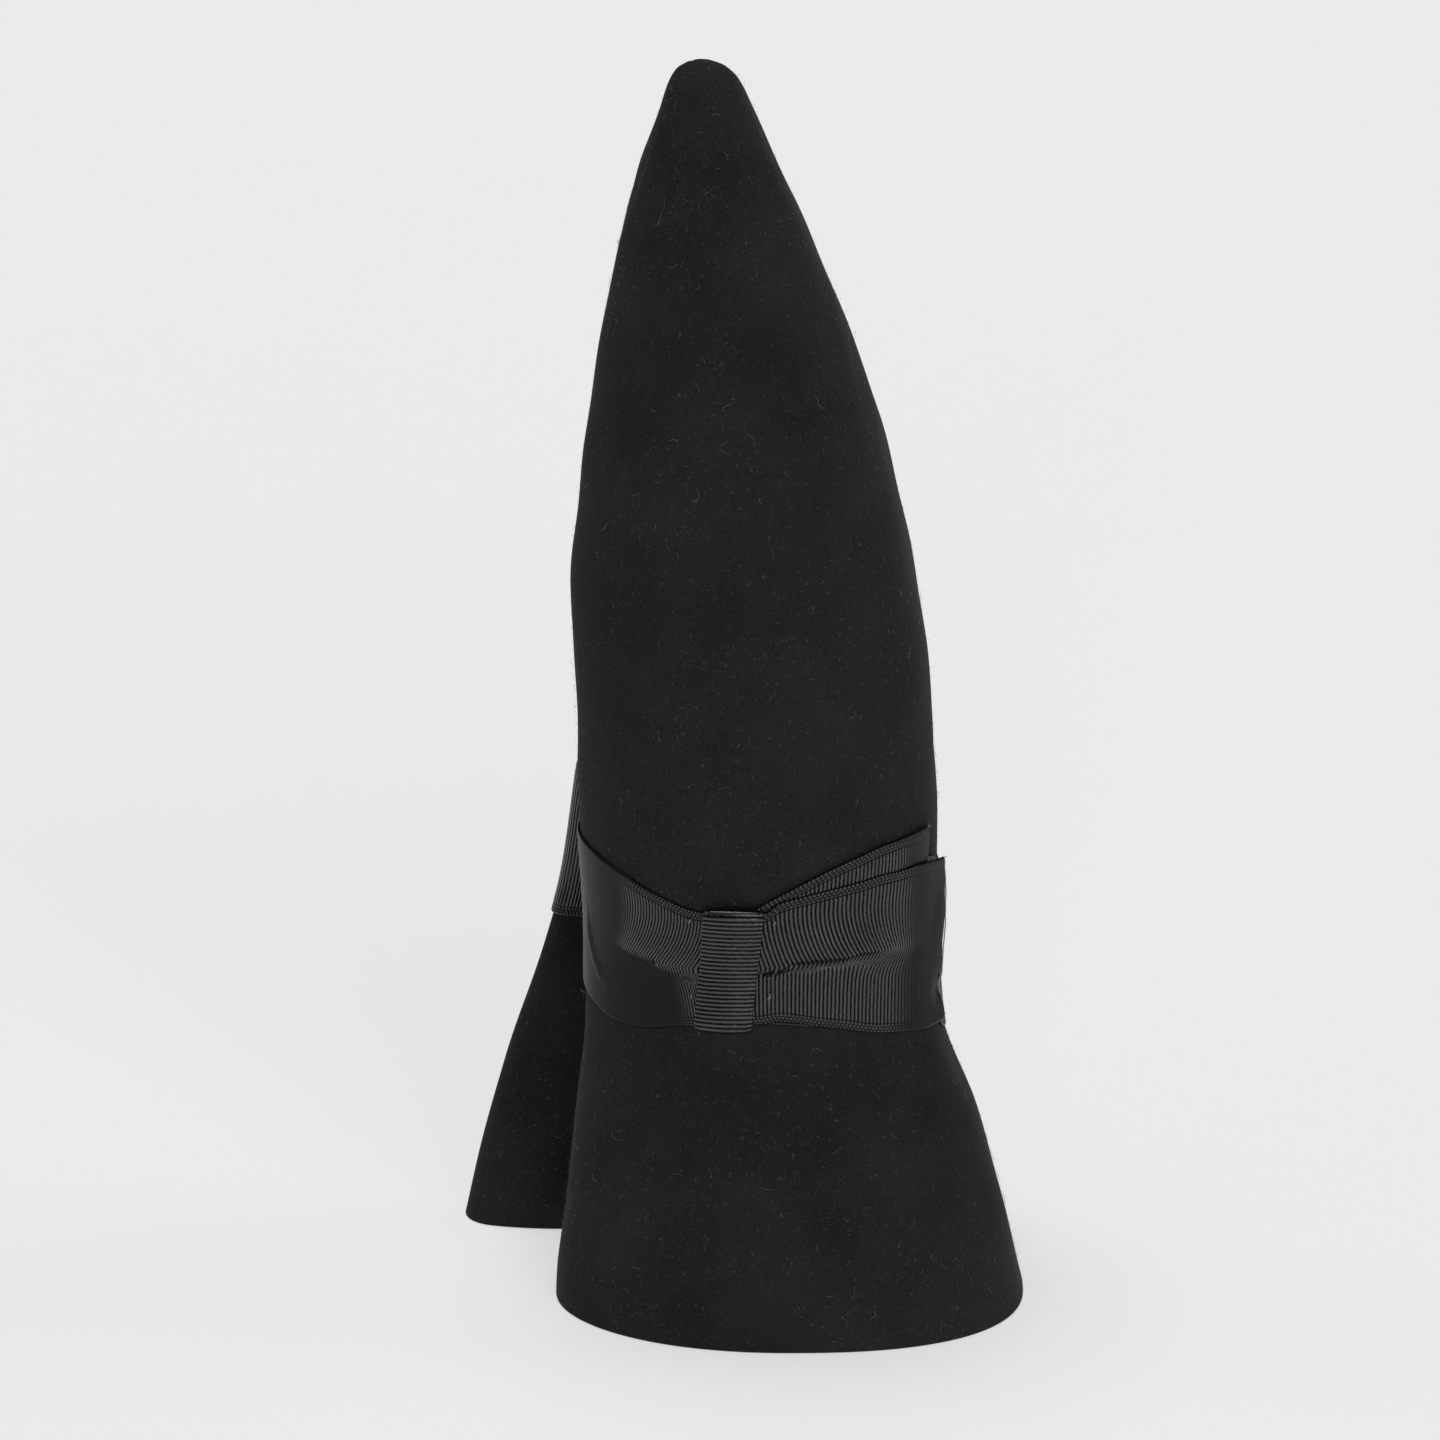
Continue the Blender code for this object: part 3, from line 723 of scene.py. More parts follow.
@dataclass(frozen=True)
class Nap:
    """Stray fibres on the felt, lying along it and curling off its surface."""

    name: str
    count: int
    shortest: float
    longest: float
    radius: float
    rise: float
    stations: int
    seed: int
    heights: tuple[float, float] = (0.0012, 0.2590)
    thinning: float = 0.86
    shares: tuple[float, float] = (0.17, 1.0)
    inner_shares: tuple[float, float] = (0.80, 1.0)
    inner_part: float = 0.10
    root_depth: float = 0.00004
    least_rise: float = 0.00006
    curl: float = 0.38
    floor_gap: float = 0.0002
    sides: int = 3
    dimness: float = 3.0

    def shell(self) -> Shell:
        """Fibres at random places of the outer side and of the free end's inner side.

        Each path is root + length * t * heading + rise * t^2 * normal + curl * sin(pi t) * sideways, with
        the heading at a random angle in the felt's surface. Their number falls off evenly with height.
        """
        random = np.random.default_rng(self.seed)
        span = self.heights[1] - self.heights[0]
        full = 1 - np.sqrt(1 - self.thinning)
        z = self.heights[0] + span * (1 - np.sqrt(1 - self.thinning * random.random(self.count))) / full
        share = random.uniform(*self.shares, self.count)
        inner = random.random(self.count) < self.inner_part
        share = np.where(inner, random.uniform(*self.inner_shares, self.count), share)
        outward = np.where(inner, -1.0, 1.0)
        base = ROLL.skin(share, 0.0, outward, z, -self.root_depth)
        step, rise_step = 2e-3, 5e-4
        ahead, behind = (ROLL.skin(np.clip(share + s, 0, 1), 0.0, outward, z, 0.0) for s in (step, -step))
        above, below = (ROLL.skin(share, 0.0, outward, z + s, 0.0) for s in (rise_step, -rise_step))
        along = (ahead - behind) / np.linalg.norm(ahead - behind, axis=-1, keepdims=True)
        up = (above - below) / np.linalg.norm(above - below, axis=-1, keepdims=True)
        normal = np.cross(along, up) * outward[:, None]
        angle = random.uniform(0, 2 * np.pi, self.count)[:, None]
        heading = np.cos(angle) * along + np.sin(angle) * up
        sideways = np.cross(normal, heading)
        extra = self.longest - self.shortest
        length = (self.shortest + extra * random.random(self.count) ** 2)[:, None, None]
        rise = (self.rise * random.random(self.count) ** 2)[:, None, None]
        curl = length * random.uniform(-self.curl, self.curl, self.count)[:, None, None]
        t = np.linspace(0, 1, self.stations)[None, :, None]
        rise = rise * t**2 + self.least_rise * t
        paths = (base[:, None] + length * t * heading[:, None] + rise * normal[:, None]
                 + curl * np.sin(np.pi * t) * sideways[:, None])
        paths[..., 2] = np.clip(paths[..., 2], self.floor_gap, ROLL.tip[2])
        radius = self.radius * random.uniform(0.6, 1.3, (self.count, 1)) * np.ones(self.stations - 1)
        return threads(paths, radius, self.sides, random.random(self.count) ** self.dimness)

    def build(self, material: bpy.types.Material) -> bpy.types.Object:
        """Makes the fibres one piece."""
        return self.shell().piece(self.name, material, "felt")


@dataclass(frozen=True)
class Weave:
    """Relief of grosgrain ribbon: ridges across it, a groove beside each braided edge."""

    pitch: float
    rib: float = 0.00016
    rib_fullness: float = 1.94
    edge: float = 0.0019
    edge_fade: float = 0.0003
    groove: float = 0.00012
    groove_width: float = 0.00014
    braid: float = 0.00010
    lip: float = 0.00025
    lip_width: float = 0.00045
    pressing: float = 0.75

    def relief(self, u: np.ndarray, inward: np.ndarray, smooth: np.ndarray) -> np.ndarray:
        """Height of the ribbon's face.

        Inside, each rib is half an ellipse over the pitch. In the woven edge it is a wave of the same pitch.
        Both fade at the groove and where the ribbon is pressed, and the face falls off at the very edge.

        Args:
            u: metres along the ribbon.
            inward: metres from its nearest edge.
            smooth: 1 where the ribs are pressed flat, 0 where they stand.

        Returns:
            Metres above the ribbon's plain face.
        """
        inside = ramp((inward - self.edge) / self.edge_fade)
        phase = (u / self.pitch + 0.5) % 1.0 - 0.5
        ridge = np.sqrt(np.maximum(1 - (self.rib_fullness * phase) ** 2, 0))
        braided = 0.5 + 0.5 * np.cos(2 * np.pi * u / self.pitch)
        standing = self.rib * ridge * inside + self.braid * braided * (1 - inside)
        return (standing * (1 - self.pressing * smooth)
                - self.groove * bell((inward - self.edge) / self.groove_width)
                - self.lip * (1 - ramp(inward / self.lip_width)))


@dataclass(frozen=True)
class Pleat:
    """A fold that runs out of the knot, its upper part hanging over the lower one.

    Every tuple has one value for each of the turns: the fold's height, its depth and how far the ribs lean
    along the ribbon above it, below it and just where they pass through it.
    """

    turns: tuple[float, ...]
    heights: tuple[float, ...]
    depths: tuple[float, ...]
    leans_above: tuple[float, ...]
    leans_below: tuple[float, ...]
    leans_through: tuple[float, ...]
    reach: float = 0.0100
    far_share: float = 0.15
    lip: float = 0.0012
    tuck: float = 0.10
    lean_reach: float = 0.0120
    through_reach: float = 0.0055

    def read(self, turn: np.ndarray, values: tuple[float, ...]) -> np.ndarray:
        """A value along the fold at the given turn, held at its ends."""
        turns = np.array(self.turns)
        return smooth_curve(np.clip(turn, turns[0], turns[-1]), turns, np.array(values))

    def lift(self, turn: np.ndarray, z: np.ndarray) -> np.ndarray:
        """How far the fold stands out: a quick rise at its lower lip, easing off over the reach above it."""
        above = z - self.read(turn, self.heights) - self.lip
        rise = ramp((above + self.lip) / self.lip)
        near, far = (1 - ramp(above / reach) for reach in (self.reach, 2 * self.reach))
        ease = near * (1 - self.far_share) + far * self.far_share
        tuck = self.tuck * bell((above + 1.6 * self.lip) / self.lip)
        return self.read(turn, self.depths) * (rise * ease - tuck)

    def lean(self, turn: np.ndarray, z: np.ndarray) -> np.ndarray:
        """How far the ribs lean along the ribbon: the square of the nearness to the fold, on either side."""
        above = z - self.read(turn, self.heights)
        near = np.clip(1 - np.abs(above) / self.lean_reach, 0, 1) ** 2
        close = np.clip(1 - np.abs(above) / self.through_reach, 0, 1) ** 2
        below = self.read(turn, self.leans_below) * (1 - near) + self.read(turn, self.leans_through) * close
        return np.where(above > -self.lip, self.read(turn, self.leans_above) * near, below)


class Station(NamedTuple):
    """Edges of a ribbon and its stand-off at a place along it; turn is in degrees from the front."""

    turn: float
    low: float
    high: float
    lift: float = 0.00015


class Dimple(NamedTuple):
    """A place where a stitch pulls the ribbon in."""

    turn: float
    height: float


class Course(Enum):
    """Which way a stretch of ribbon runs on the folded sheet."""

    OUTER_SIDE = "along the outer side"
    ROUND_FREE_FOLD = "along the outer side, round the free fold and part of the inner side"
    ROUND_TUCKED_FOLD = "along the inner side, round the tucked fold and the start of the outer side"


TACKS = (Dimple(-26.5, 0.0862), Dimple(-28.0, 0.0698), Dimple(6.2, 0.0869), Dimple(4.2, 0.0709))
DEGREE = ROLL.length_per_share * (1 - ROLL.flap_share - ROLL.tuck_share) / (180 - ROLL.tuck_start)


@dataclass(frozen=True)
class Ribbon:
    """A stretch of the grosgrain ribbon, laid on the roll with its ribs upright."""

    name: str
    node: str
    stations: tuple[Station, ...]
    pleat: Pleat
    weave: Weave
    smooth_turns: tuple[tuple[float, float], ...] = ()
    smooth_below: tuple[tuple[float, float], ...] = ()
    thick: float = 0.00045
    column_step: float = 0.00011
    face_rows: int = 31
    back_rows: int = 3
    tack_depth: float = 0.0003
    tack_width: float = 0.0006
    course: Course = Course.OUTER_SIDE
    inner_end: float = 0.75
    inner_gap: float = 0.01
    outer_start: float = 0.16
    hidden_turn: float = -85.0
    ragged: float = 0.0
    end_reach: float = 0.0045
    end_waves: tuple[tuple[float, float, float], ...] = ()
    crease: tuple[tuple[float, float], ...] = ()
    crease_rise: float = 0.00045
    crease_width: float = 0.00055

    def path(self) -> tuple[np.ndarray, np.ndarray, np.ndarray, np.ndarray]:
        """share, forward, outward and metres along the ribbon, at even steps of its length.

        Every leg of the course has its first and last share, its first and last angle round the sheet's
        thickness and its number of points. The angle is 90 degrees on the outer side and -90 on the inner
        one; forward is its cosine, turned round at the tucked fold, and outward its sine.
        """
        first, last = (ROLL.share_at(self.stations[end].turn) for end in (0, -1))
        legs = {
            Course.OUTER_SIDE: ((first, last, 90, 90, 4000),),
            Course.ROUND_FREE_FOLD: ((first, 1, 90, 90, 4000), (1, 1, 90, -90, 200),
                                     (1, self.inner_end, -90, -90, 1500)),
            Course.ROUND_TUCKED_FOLD: ((self.inner_end + self.inner_gap, 0, -90, -90, 4000),
                                       (0, 0, -90, 90, 200), (0, self.outer_start, 90, 90, 800)),
        }[self.course]
        share = np.concatenate([np.linspace(leg[0], leg[1], leg[4]) for leg in legs])
        angle = np.radians(np.concatenate([np.linspace(leg[2], leg[3], leg[4]) for leg in legs]))
        forward = np.cos(angle) * (-1 if self.course is Course.ROUND_TUCKED_FOLD else 1)
        outward = np.sin(angle)
        station = self.stations[len(self.stations) // 2]
        path = ROLL.skin(share, forward, outward, (station.low + station.high) / 2, self.stations[0].lift)
        length = np.concatenate(([0], np.cumsum(np.linalg.norm(np.diff(path, axis=0), axis=-1))))
        even = np.linspace(0, length[-1], int(length[-1] / self.column_step))
        log.info("%s: %.4f m long", self.name, length[-1])
        return (*(np.interp(even, length, value) for value in (share, forward, outward)), even)

    def smooth(self, turn: np.ndarray, z: np.ndarray) -> np.ndarray:
        """How far the ribs are pressed flat: ramps over turns, and below the pleat over others."""
        pressed = np.zeros(np.broadcast(turn, z).shape)
        for start, full in self.smooth_turns:
            pressed = np.maximum(pressed, ramp((turn - start) / (full - start)))
        below = ramp((self.pleat.read(turn, self.pleat.heights) - self.pleat.lip - z) / 0.0008)
        for start, full in self.smooth_below:
            pressed = np.maximum(pressed, below * ramp((turn - start) / (full - start)))
        return pressed * (turn > self.hidden_turn)

    def end_lift(self, z: np.ndarray) -> np.ndarray:
        """Crumples of the cut end: a sum of bumps, each with its height, amount and reach."""
        return sum((amount * bell((z - height) / reach) for height, amount, reach in self.end_waves),
                   np.zeros_like(z))

    def crease_lift(self, turn: np.ndarray, z: np.ndarray) -> np.ndarray:
        """A sharp upright crease: a bump across the curve through its (height, turn) points."""
        if not self.crease:
            return np.zeros(np.broadcast(turn, z).shape)
        heights, turns = np.array(self.crease).T
        away = (turn - smooth_curve(np.clip(z, heights[0], heights[-1]), heights, turns)) * DEGREE
        span = heights[-1] - heights[0]
        ends = ramp((z - heights[0]) / (0.2 * span)) * ramp((heights[-1] - z) / (0.4 * span))
        return self.crease_rise * bell(away / self.crease_width) * ends

    def turn_of(self, share: np.ndarray) -> np.ndarray:
        """Degrees from the front of a share, in proportion along the whole sheet."""
        return ROLL.tuck_start + (share - ROLL.tuck_share) * ROLL.length_per_share / DEGREE

    def shell(self) -> Shell:
        """The ribbon as a closed strip.

        A point is at z = low + v * (high - low) and stands out by the station's lift, the thickness, the
        weave's relief and the pleat. Its share is moved by the pleat's sweep, so that the ribs bend.
        """
        share, forward, outward, u = self.path()
        turns = column(self.stations, "turn")
        place = np.clip(self.turn_of(share), turns[0], turns[-1])
        low, high, lift = (smooth_curve(place, turns, column(self.stations, name))
                           for name in ("low", "high", "lift"))
        v = np.linspace(0, 1, self.face_rows)
        v = v - 0.7 * np.sin(2 * np.pi * v) / (2 * np.pi)
        low, high, lift, place, u = (a[:, None] for a in (low, high, lift, place, u))
        z = low + (high - low) * v
        face_side = (outward > 0)[:, None]
        shift = self.pleat.lean(place, z) * face_side
        ragged = self.ragged * (np.sin(v * 23.0) + 0.5 * np.sin(v * 47.0 + 1.3))
        near_end = ramp(1 - (u[-1] - u) / self.end_reach)
        moved = np.clip(share[:, None] + (shift + ragged * near_end) / ROLL.length_per_share, 0, 1)
        smooth = self.smooth(place, z) * face_side
        inward = np.minimum(v, 1 - v) * (high - low)
        folds = self.pleat.lift(place, z) + self.crease_lift(place, z)
        relief = self.weave.relief(u, inward, smooth) + folds * face_side
        for tack in TACKS:
            away = np.hypot((place - tack.turn) * DEGREE, z - tack.height)
            relief = relief - self.tack_depth * bell(away / self.tack_width) * face_side
        crumple = self.end_lift(z) * near_end
        face = ROLL.skin(moved, forward[:, None], outward[:, None], z,
                         lift + self.thick + crumple + np.maximum(relief, -self.tack_depth))
        w = np.linspace(1, 0, self.back_rows)
        back_z = low + (high - low) * w
        back_share = np.clip(np.broadcast_to(share[:, None], back_z.shape), 0, 1)
        back = ROLL.skin(back_share, forward[:, None], outward[:, None], back_z,
                         lift + self.end_lift(back_z) * near_end)
        points = np.concatenate((face, back), 1)
        ribs = np.broadcast_to(u / self.weave.pitch, (len(u), points.shape[1]))
        across = np.concatenate((v, w)) * (high - low)
        inward = np.concatenate((inward, np.zeros_like(back_z)), 1)
        smooth = np.concatenate((smooth, np.zeros_like(back_z)), 1)
        return loft(points, np.stack((ribs, across, inward, smooth), -1))

    def build(self, material: bpy.types.Material) -> bpy.types.Object:
        """Makes the ribbon and hides the plain solid that it stands for."""
        piece = self.shell().piece(self.name, material, "ribbon")
        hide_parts(self.node)
        return piece


@dataclass(frozen=True)
class Knot:
    """The short cross strip over the gathered ribbon, its ends turned in above and below."""

    low: float = 0.0635
    high: float = 0.0888
    root_lift: float = 0.0007
    depth: float = 0.0020
    squareness: float = 0.28
    low_turn: float = -15.4
    high_turn: float = -9.1
    low_half: float = 11.6
    high_half: float = 11.2
    thick: float = 0.00045
    crown: float = 0.0004
    hidden_selvedge: float = 0.0022
    steps: int = 320
    columns: int = 46
    weave: Weave = Weave(pitch=0.000885, edge=0.0009)

    def shell(self) -> Shell:
        """The strip as a closed surface.

        Its lengthwise section is half a rounded rectangle: height = middle + half * sign(sin) * |sin|^s and
        lift = root + depth * cos^s. The thickness and the ribs stand square to that line.
        """
        angle = np.linspace(-np.pi / 2, np.pi / 2, 6000)
        sine, cosine = np.sin(angle), np.maximum(np.cos(angle), 0)
        half = (self.high - self.low) / 2
        z = (self.high + self.low) / 2 + half * np.sign(sine) * np.abs(sine) ** self.squareness
        lift = self.root_lift + self.depth * cosine ** self.squareness
        length = np.concatenate(([0], np.cumsum(np.hypot(np.diff(z), np.diff(lift)))))
        u = np.linspace(0, length[-1], self.steps)
        z, lift = np.interp(u, length, z), np.interp(u, length, lift)
        rise, out = np.gradient(z, u), np.gradient(lift, u)
        size = np.hypot(rise, out)
        rise, out = rise / size, out / size
        along = np.clip((z - self.low) / (self.high - self.low), 0, 1)[:, None]
        turn = self.low_turn + (self.high_turn - self.low_turn) * along
        reach = self.low_half + (self.high_half - self.low_half) * along
        side = np.linspace(-1, 1, self.columns)
        side = side + 0.5 * np.sin(np.pi * side) / np.pi
        width = 2 * self.high_half * DEGREE
        v = (side + 1) / 2 * width
        inward = np.minimum(v, width - v)[None]
        relief = self.weave.relief(u[:, None], inward, 0.0) + self.crown * (1 - side**2)
        z, lift, rise, out = (a[:, None] for a in (z, lift, rise, out))
        full = self.thick + relief
        face = ROLL.skin(ROLL.share_at(turn + side * reach), 0.0, 1.0, z - full * out, lift + full * rise)
        back_side = np.linspace(1, -1, 5)
        back = ROLL.skin(ROLL.share_at(turn + back_side * reach), 0.0, 1.0, z + 0 * back_side,
                         lift + 0 * back_side)
        points = np.concatenate((face, back), 1)
        across = np.concatenate((v, (back_side + 1) / 2 * width))[None]
        inward = np.concatenate((inward + self.hidden_selvedge, np.zeros((1, len(back_side)))), 1)
        weave = np.broadcast_arrays(u[:, None] / self.weave.pitch, across, inward, 0.0)
        return loft(points, np.stack(weave, -1), flip=True)

    def build(self, material: bpy.types.Material) -> bpy.types.Object:
        """Makes the knot and hides the plain solid that it stands for."""
        knot = self.shell().piece("bow_knot_woven", material, "ribbon")
        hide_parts("bow_knot")
        return knot


@dataclass(frozen=True)
class LooseThreads:
    """Stitches that hold the bow and the bare yarns at the ribbon's cut ends."""

    stitch_radius: float = 0.00016
    stitch_size: float = 0.0013
    stitch_rise: float = 0.00075
    stitch_root: float = 0.0003
    yarn_radius: float = 0.00005
    root_length: float = 0.0004
    droop: float = 0.6
    cut_radius: float = 0.00016
    face_on_tail: float = 0.00185
    face_on_band: float = 0.00085
    seed: int = 11

    def stitches(self) -> Shell:
        """Two crossing stitches at each tack: paths that rise out of the ribbon and go back into it. The
        first has a light tone, a painted highlight, and the second a dark one.
        """
        t = np.linspace(0, 1, 9)[None, :]
        shells = []
        for number, tack in enumerate(TACKS):
            face = self.face_on_tail if tack.turn > 0 else self.face_on_band
            # The first stitch's light tone of 0.9 is a painted highlight.
            for slant, tone in ((0.9, 0.9), (-0.5, 0.35)):
                heading = slant + 0.4 * number
                turn = tack.turn + self.stitch_size * (t - 0.5) * np.cos(heading) / DEGREE
                z = tack.height + self.stitch_size * (t - 0.5) * np.sin(heading)
                lift = face - self.stitch_root + self.stitch_rise * np.sin(np.pi * t)
                path = ROLL.skin(ROLL.share_at(turn), 0.0, 1.0, z, lift)
                shells.append(threads(path, np.full((1, 8), self.stitch_radius), 6, tone))
        return joined(shells)

    def yarns(self, cut: Station, count: int, longest: float) -> Shell:
        """Bare yarns along a cut end: root + length * t along the ribbon, drooping and curling by t^2.

        Args:
            cut: the cut end.
            count: number of yarns, eight of which bunch at the two corners.
            longest: their greatest length.

        Returns:
            The yarns.
        """
        random = np.random.default_rng(self.seed + count)
        bunches = np.concatenate((np.ones(4) * 0.995, np.full(4, 0.01)))
        z = cut.low + (cut.high - cut.low) * np.concatenate((random.random(count - 8), bunches))
        length = longest * random.uniform(0.15, 1.0, count) ** 2
        length[-8:] = longest * random.uniform(0.7, 1.3, 8)
        t = np.linspace(0, 1, 5)[None]
        curl = random.uniform(-1, 1, (count, 1))
        away = random.uniform(-0.3, 1.0, (count, 1))
        turns = cut.turn + (length[:, None] * t - self.root_length) / DEGREE
        heights = z[:, None] + length[:, None] * self.droop * curl * t**2
        lifts = cut.lift + length[:, None] * self.droop * away * t**2
        path = ROLL.skin(ROLL.share_at(turns), 0.0, 1.0, heights, lifts)
        return threads(path, np.full((count, 4), self.yarn_radius), 5, random.random(count))

    def cut_line_painted_highlight(self, cut: Station, bow: float, tone: float) -> Shell:
        """The last weft of a cut end, which stands off it by bow * sin(pi t); its light tone is a painted
        highlight along the edge.
        """
        t = np.linspace(0, 1, 25)[None]
        wander = 0.00012 * np.sin(19 * t) + 0.00008 * np.sin(47 * t)
        away = bow * np.sin(np.pi * t)
        path = ROLL.skin(ROLL.share_at(cut.turn + (wander + 0.4 * away) / DEGREE), 0.0, 1.0,
                         cut.low + (cut.high - cut.low) * t, cut.lift + away)
        return threads(path, np.full((1, 24), self.cut_radius), 6, tone)

    def wisp(self) -> Shell:
        """One loose thread at the left, below the band: a short curl that stands off the felt."""
        t = np.linspace(0, 1, 9)[None]
        height, lift = 0.0638 + 0.0006 * t**2, 0.0006 + 0.0010 * t
        path = ROLL.skin(ROLL.share_at(-76.0 - t), 0.0, 1.0, height, lift)
        return threads(path, np.full((1, 8), 0.00006), 5, 0.5)

    def build(self, material: bpy.types.Material) -> bpy.types.Object:
        """Makes all loose threads one piece."""
        shells = [self.stitches(),
                  self.yarns(Station(71.3, 0.0602, 0.0942, 0.0026), 80, 0.0015),
                  self.yarns(Station(63.8, 0.0950, 0.1024, 0.0009), 34, 0.0014),
                  # The light tones of the cut lines are a painted highlight along the cut ends.
                  self.cut_line_painted_highlight(Station(71.6, 0.0690, 0.0943, 0.0027), 0.0006, 1.0),
                  self.cut_line_painted_highlight(Station(71.5, 0.0602, 0.0943, 0.0026), 0.0, 0.6),
                  self.cut_line_painted_highlight(Station(64.1, 0.0690, 0.1024, 0.0009), 0.0, 0.3),
                  self.wisp()]
        return joined(shells).piece("loose_threads", material, "ribbon")


class Lamp(NamedTuple):
    """A light's name, where it comes from, the angle that it fills in degrees and its strength."""

    name: str
    place: tuple[float, float, float]
    spread: float
    strength: float


@dataclass(frozen=True)
class Studio:
    """The plain pale floor, the soft light and the camera."""

    floor_half: float = 8.0
    floor_tone: float = 0.60
    floor_glow: float = 0.38
    world: float = 0.06
    lamps: tuple[Lamp, ...] = (
        Lamp("ceiling", (-0.20, 0.30, 2.4), 34.0, 1.70),
        Lamp("front_softbox", (0.6, -2.3, 0.8), 50.0, 1.25),
        Lamp("right_softbox", (2.2, 0.3, 0.6), 30.0, 0.40),
        Lamp("left_strip", (-2.2, 0.7, 0.5), 8.0, 0.07),
    )
    target: tuple[float, float, float] = (-0.0044, -0.0057, 0.1235)
    distance: float = 1.6
    elevation: float = 17.0
    lens: float = 194.0
    sensor: float = 36.0

    def floor(self) -> None:
        """A flat floor at the height of the brim's edge, which glows a little as a lit white table does."""
        h = self.floor_half
        mesh = bpy.data.meshes.new("floor")
        mesh.from_pydata([(-h, -h, 0), (h, -h, 0), (h, h, 0), (-h, h, 0)], [], [(0, 1, 2, 3)])
        tree = Tree("pale_floor")
        where = tree.node("ShaderNodeTexCoord", output="Object")
        tone = tree.noise(where, 3.0, 1.0)
        pale = self.floor_tone
        tree.feed(tree.shader, {
            "Base Color": tree.mix(tone, (pale, pale, pale * 1.005), (pale * 1.01,) * 3),
            "Roughness": 0.9, "Specular IOR Level": 0.0,
            "Emission Color": (1.0, 1.0, 1.0, 1.0), "Emission Strength": self.floor_glow,
        })
        mesh.materials.append(tree.material)
        floor = bpy.data.objects.new("floor", mesh)
        bpy.context.scene.collection.objects.link(floor)

    def light(self, lamp: Lamp) -> None:
        """A light from far away, as wide as its spread, so that it is even over the whole floor."""
        data = bpy.data.lights.new(lamp.name, "SUN")
        data.angle = np.radians(lamp.spread)
        data.energy = lamp.strength
        light = bpy.data.objects.new(lamp.name, data)
        light.location = lamp.place
        light.rotation_euler = (Vector((0, 0, 0.12)) - Vector(lamp.place)).to_track_quat("-Z", "Y").to_euler()
        bpy.context.scene.collection.objects.link(light)

    def camera(self) -> None:
        """A long lens in front of the bow, raised by the elevation, aimed at the target."""
        data = bpy.data.cameras.new("camera")
        data.lens = self.lens
        data.sensor_width = self.sensor
        data.clip_start, data.clip_end = 0.05, 50.0
        tilt = np.radians(self.elevation)
        camera = bpy.data.objects.new("camera", data)
        camera.location = Vector(self.target) + self.distance * Vector((0, -np.cos(tilt), np.sin(tilt)))
        camera.rotation_euler = (np.pi / 2 - tilt, 0, 0)
        bpy.context.scene.collection.objects.link(camera)
        bpy.context.scene.camera = camera

    def build(self) -> None:
        """Sets the stage."""
        self.floor()
        world = bpy.data.worlds.new("studio")
        bpy.context.scene.world = world
        world.use_nodes = True
        world.node_tree.nodes["Background"].inputs["Color"].default_value = (1.0, 1.0, 1.0, 1.0)
        world.node_tree.nodes["Background"].inputs["Strength"].default_value = self.world
        for lamp in self.lamps:
            self.light(lamp)
        self.camera()
        bpy.context.scene.view_settings.view_transform = "Standard"


BAND_STATIONS = (
    Station(-116, 0.0670, 0.0985),
    Station(-82, 0.0655, 0.0985),
    Station(-71, 0.0636, 0.0975),
    Station(-61, 0.0614, 0.0960),
    Station(-52, 0.0612, 0.0943),
    Station(-44, 0.0621, 0.0924),
    Station(-35, 0.0630, 0.0903),
    Station(-26, 0.0634, 0.0886),
    Station(-11, 0.0640, 0.0878),
    Station(3, 0.0640, 0.0886),
    Station(30, 0.0630, 0.0930),
    Station(62, 0.0624, 0.0958),
    Station(70, 0.0612, 0.0948),
    Station(76, 0.0586, 0.0924),
    Station(82, 0.0559, 0.0899),
    Station(90, 0.0547, 0.0887),
    Station(133, 0.0547, 0.0887),
    Station(155, 0.0556, 0.0896),
    Station(180, 0.0581, 0.0921),
    Station(200, 0.0607, 0.0947),
    Station(220, 0.0630, 0.0970),
    Station(246, 0.0650, 0.0990),
    Station(283.5, 0.0660, 0.0998),
)
INSIDE_STATIONS = (
    Station(-187, 0.0660, 0.0982),
    Station(-116, 0.0670, 0.0985),
    Station(-60, 0.0640, 0.0970),
    *(row for row in BAND_STATIONS if row.turn in (62, 76, 90, 133, 155, 180)),
)
FRONT_TAIL_STATIONS = (
    Station(-8, 0.0641, 0.0874, 0.00130),
    Station(2.5, 0.0646, 0.0889, 0.00130),
    Station(8, 0.0650, 0.0910, 0.00130),
    Station(16, 0.0646, 0.0923, 0.00130),
    Station(25, 0.0637, 0.0935, 0.00130),
    Station(35, 0.0627, 0.0946, 0.00130),
    Station(45, 0.0613, 0.0955, 0.00130),
    Station(55, 0.0604, 0.0955, 0.00140),
    Station(64, 0.0597, 0.0950, 0.00175),
    Station(71.5, 0.0600, 0.0944, 0.00240),
)
BACK_TAIL_STATIONS = (
    Station(-8, 0.0650, 0.0874, 0.00075),
    Station(2.5, 0.0656, 0.0908, 0.00075),
    Station(15, 0.0662, 0.0946, 0.00075),
    Station(25, 0.0670, 0.0976, 0.00075),
    Station(35, 0.0675, 0.1000, 0.00075),
    Station(45, 0.0680, 0.1018, 0.00075),
    Station(64, 0.0686, 0.1026, 0.00060),
)
LEFT_PLEAT = Pleat(turns=(-66.0, -52.0, -42.5, -31.0, -20.0, -14.0, -6.0),
                   heights=(0.0782, 0.0778, 0.0770, 0.0760, 0.0752, 0.0750, 0.0750),
                   depths=(0.0, 0.0002, 0.0006, 0.0008, 0.0008, 0.0005, 0.0),
                   leans_above=(0.0, -0.0030, -0.0048, -0.0054, -0.0054, -0.0030, 0.0),
                   leans_below=(0.0, 0.0008, 0.0020, 0.0024, 0.0, 0.0, 0.0),
                   leans_through=(0.0,) * 7)
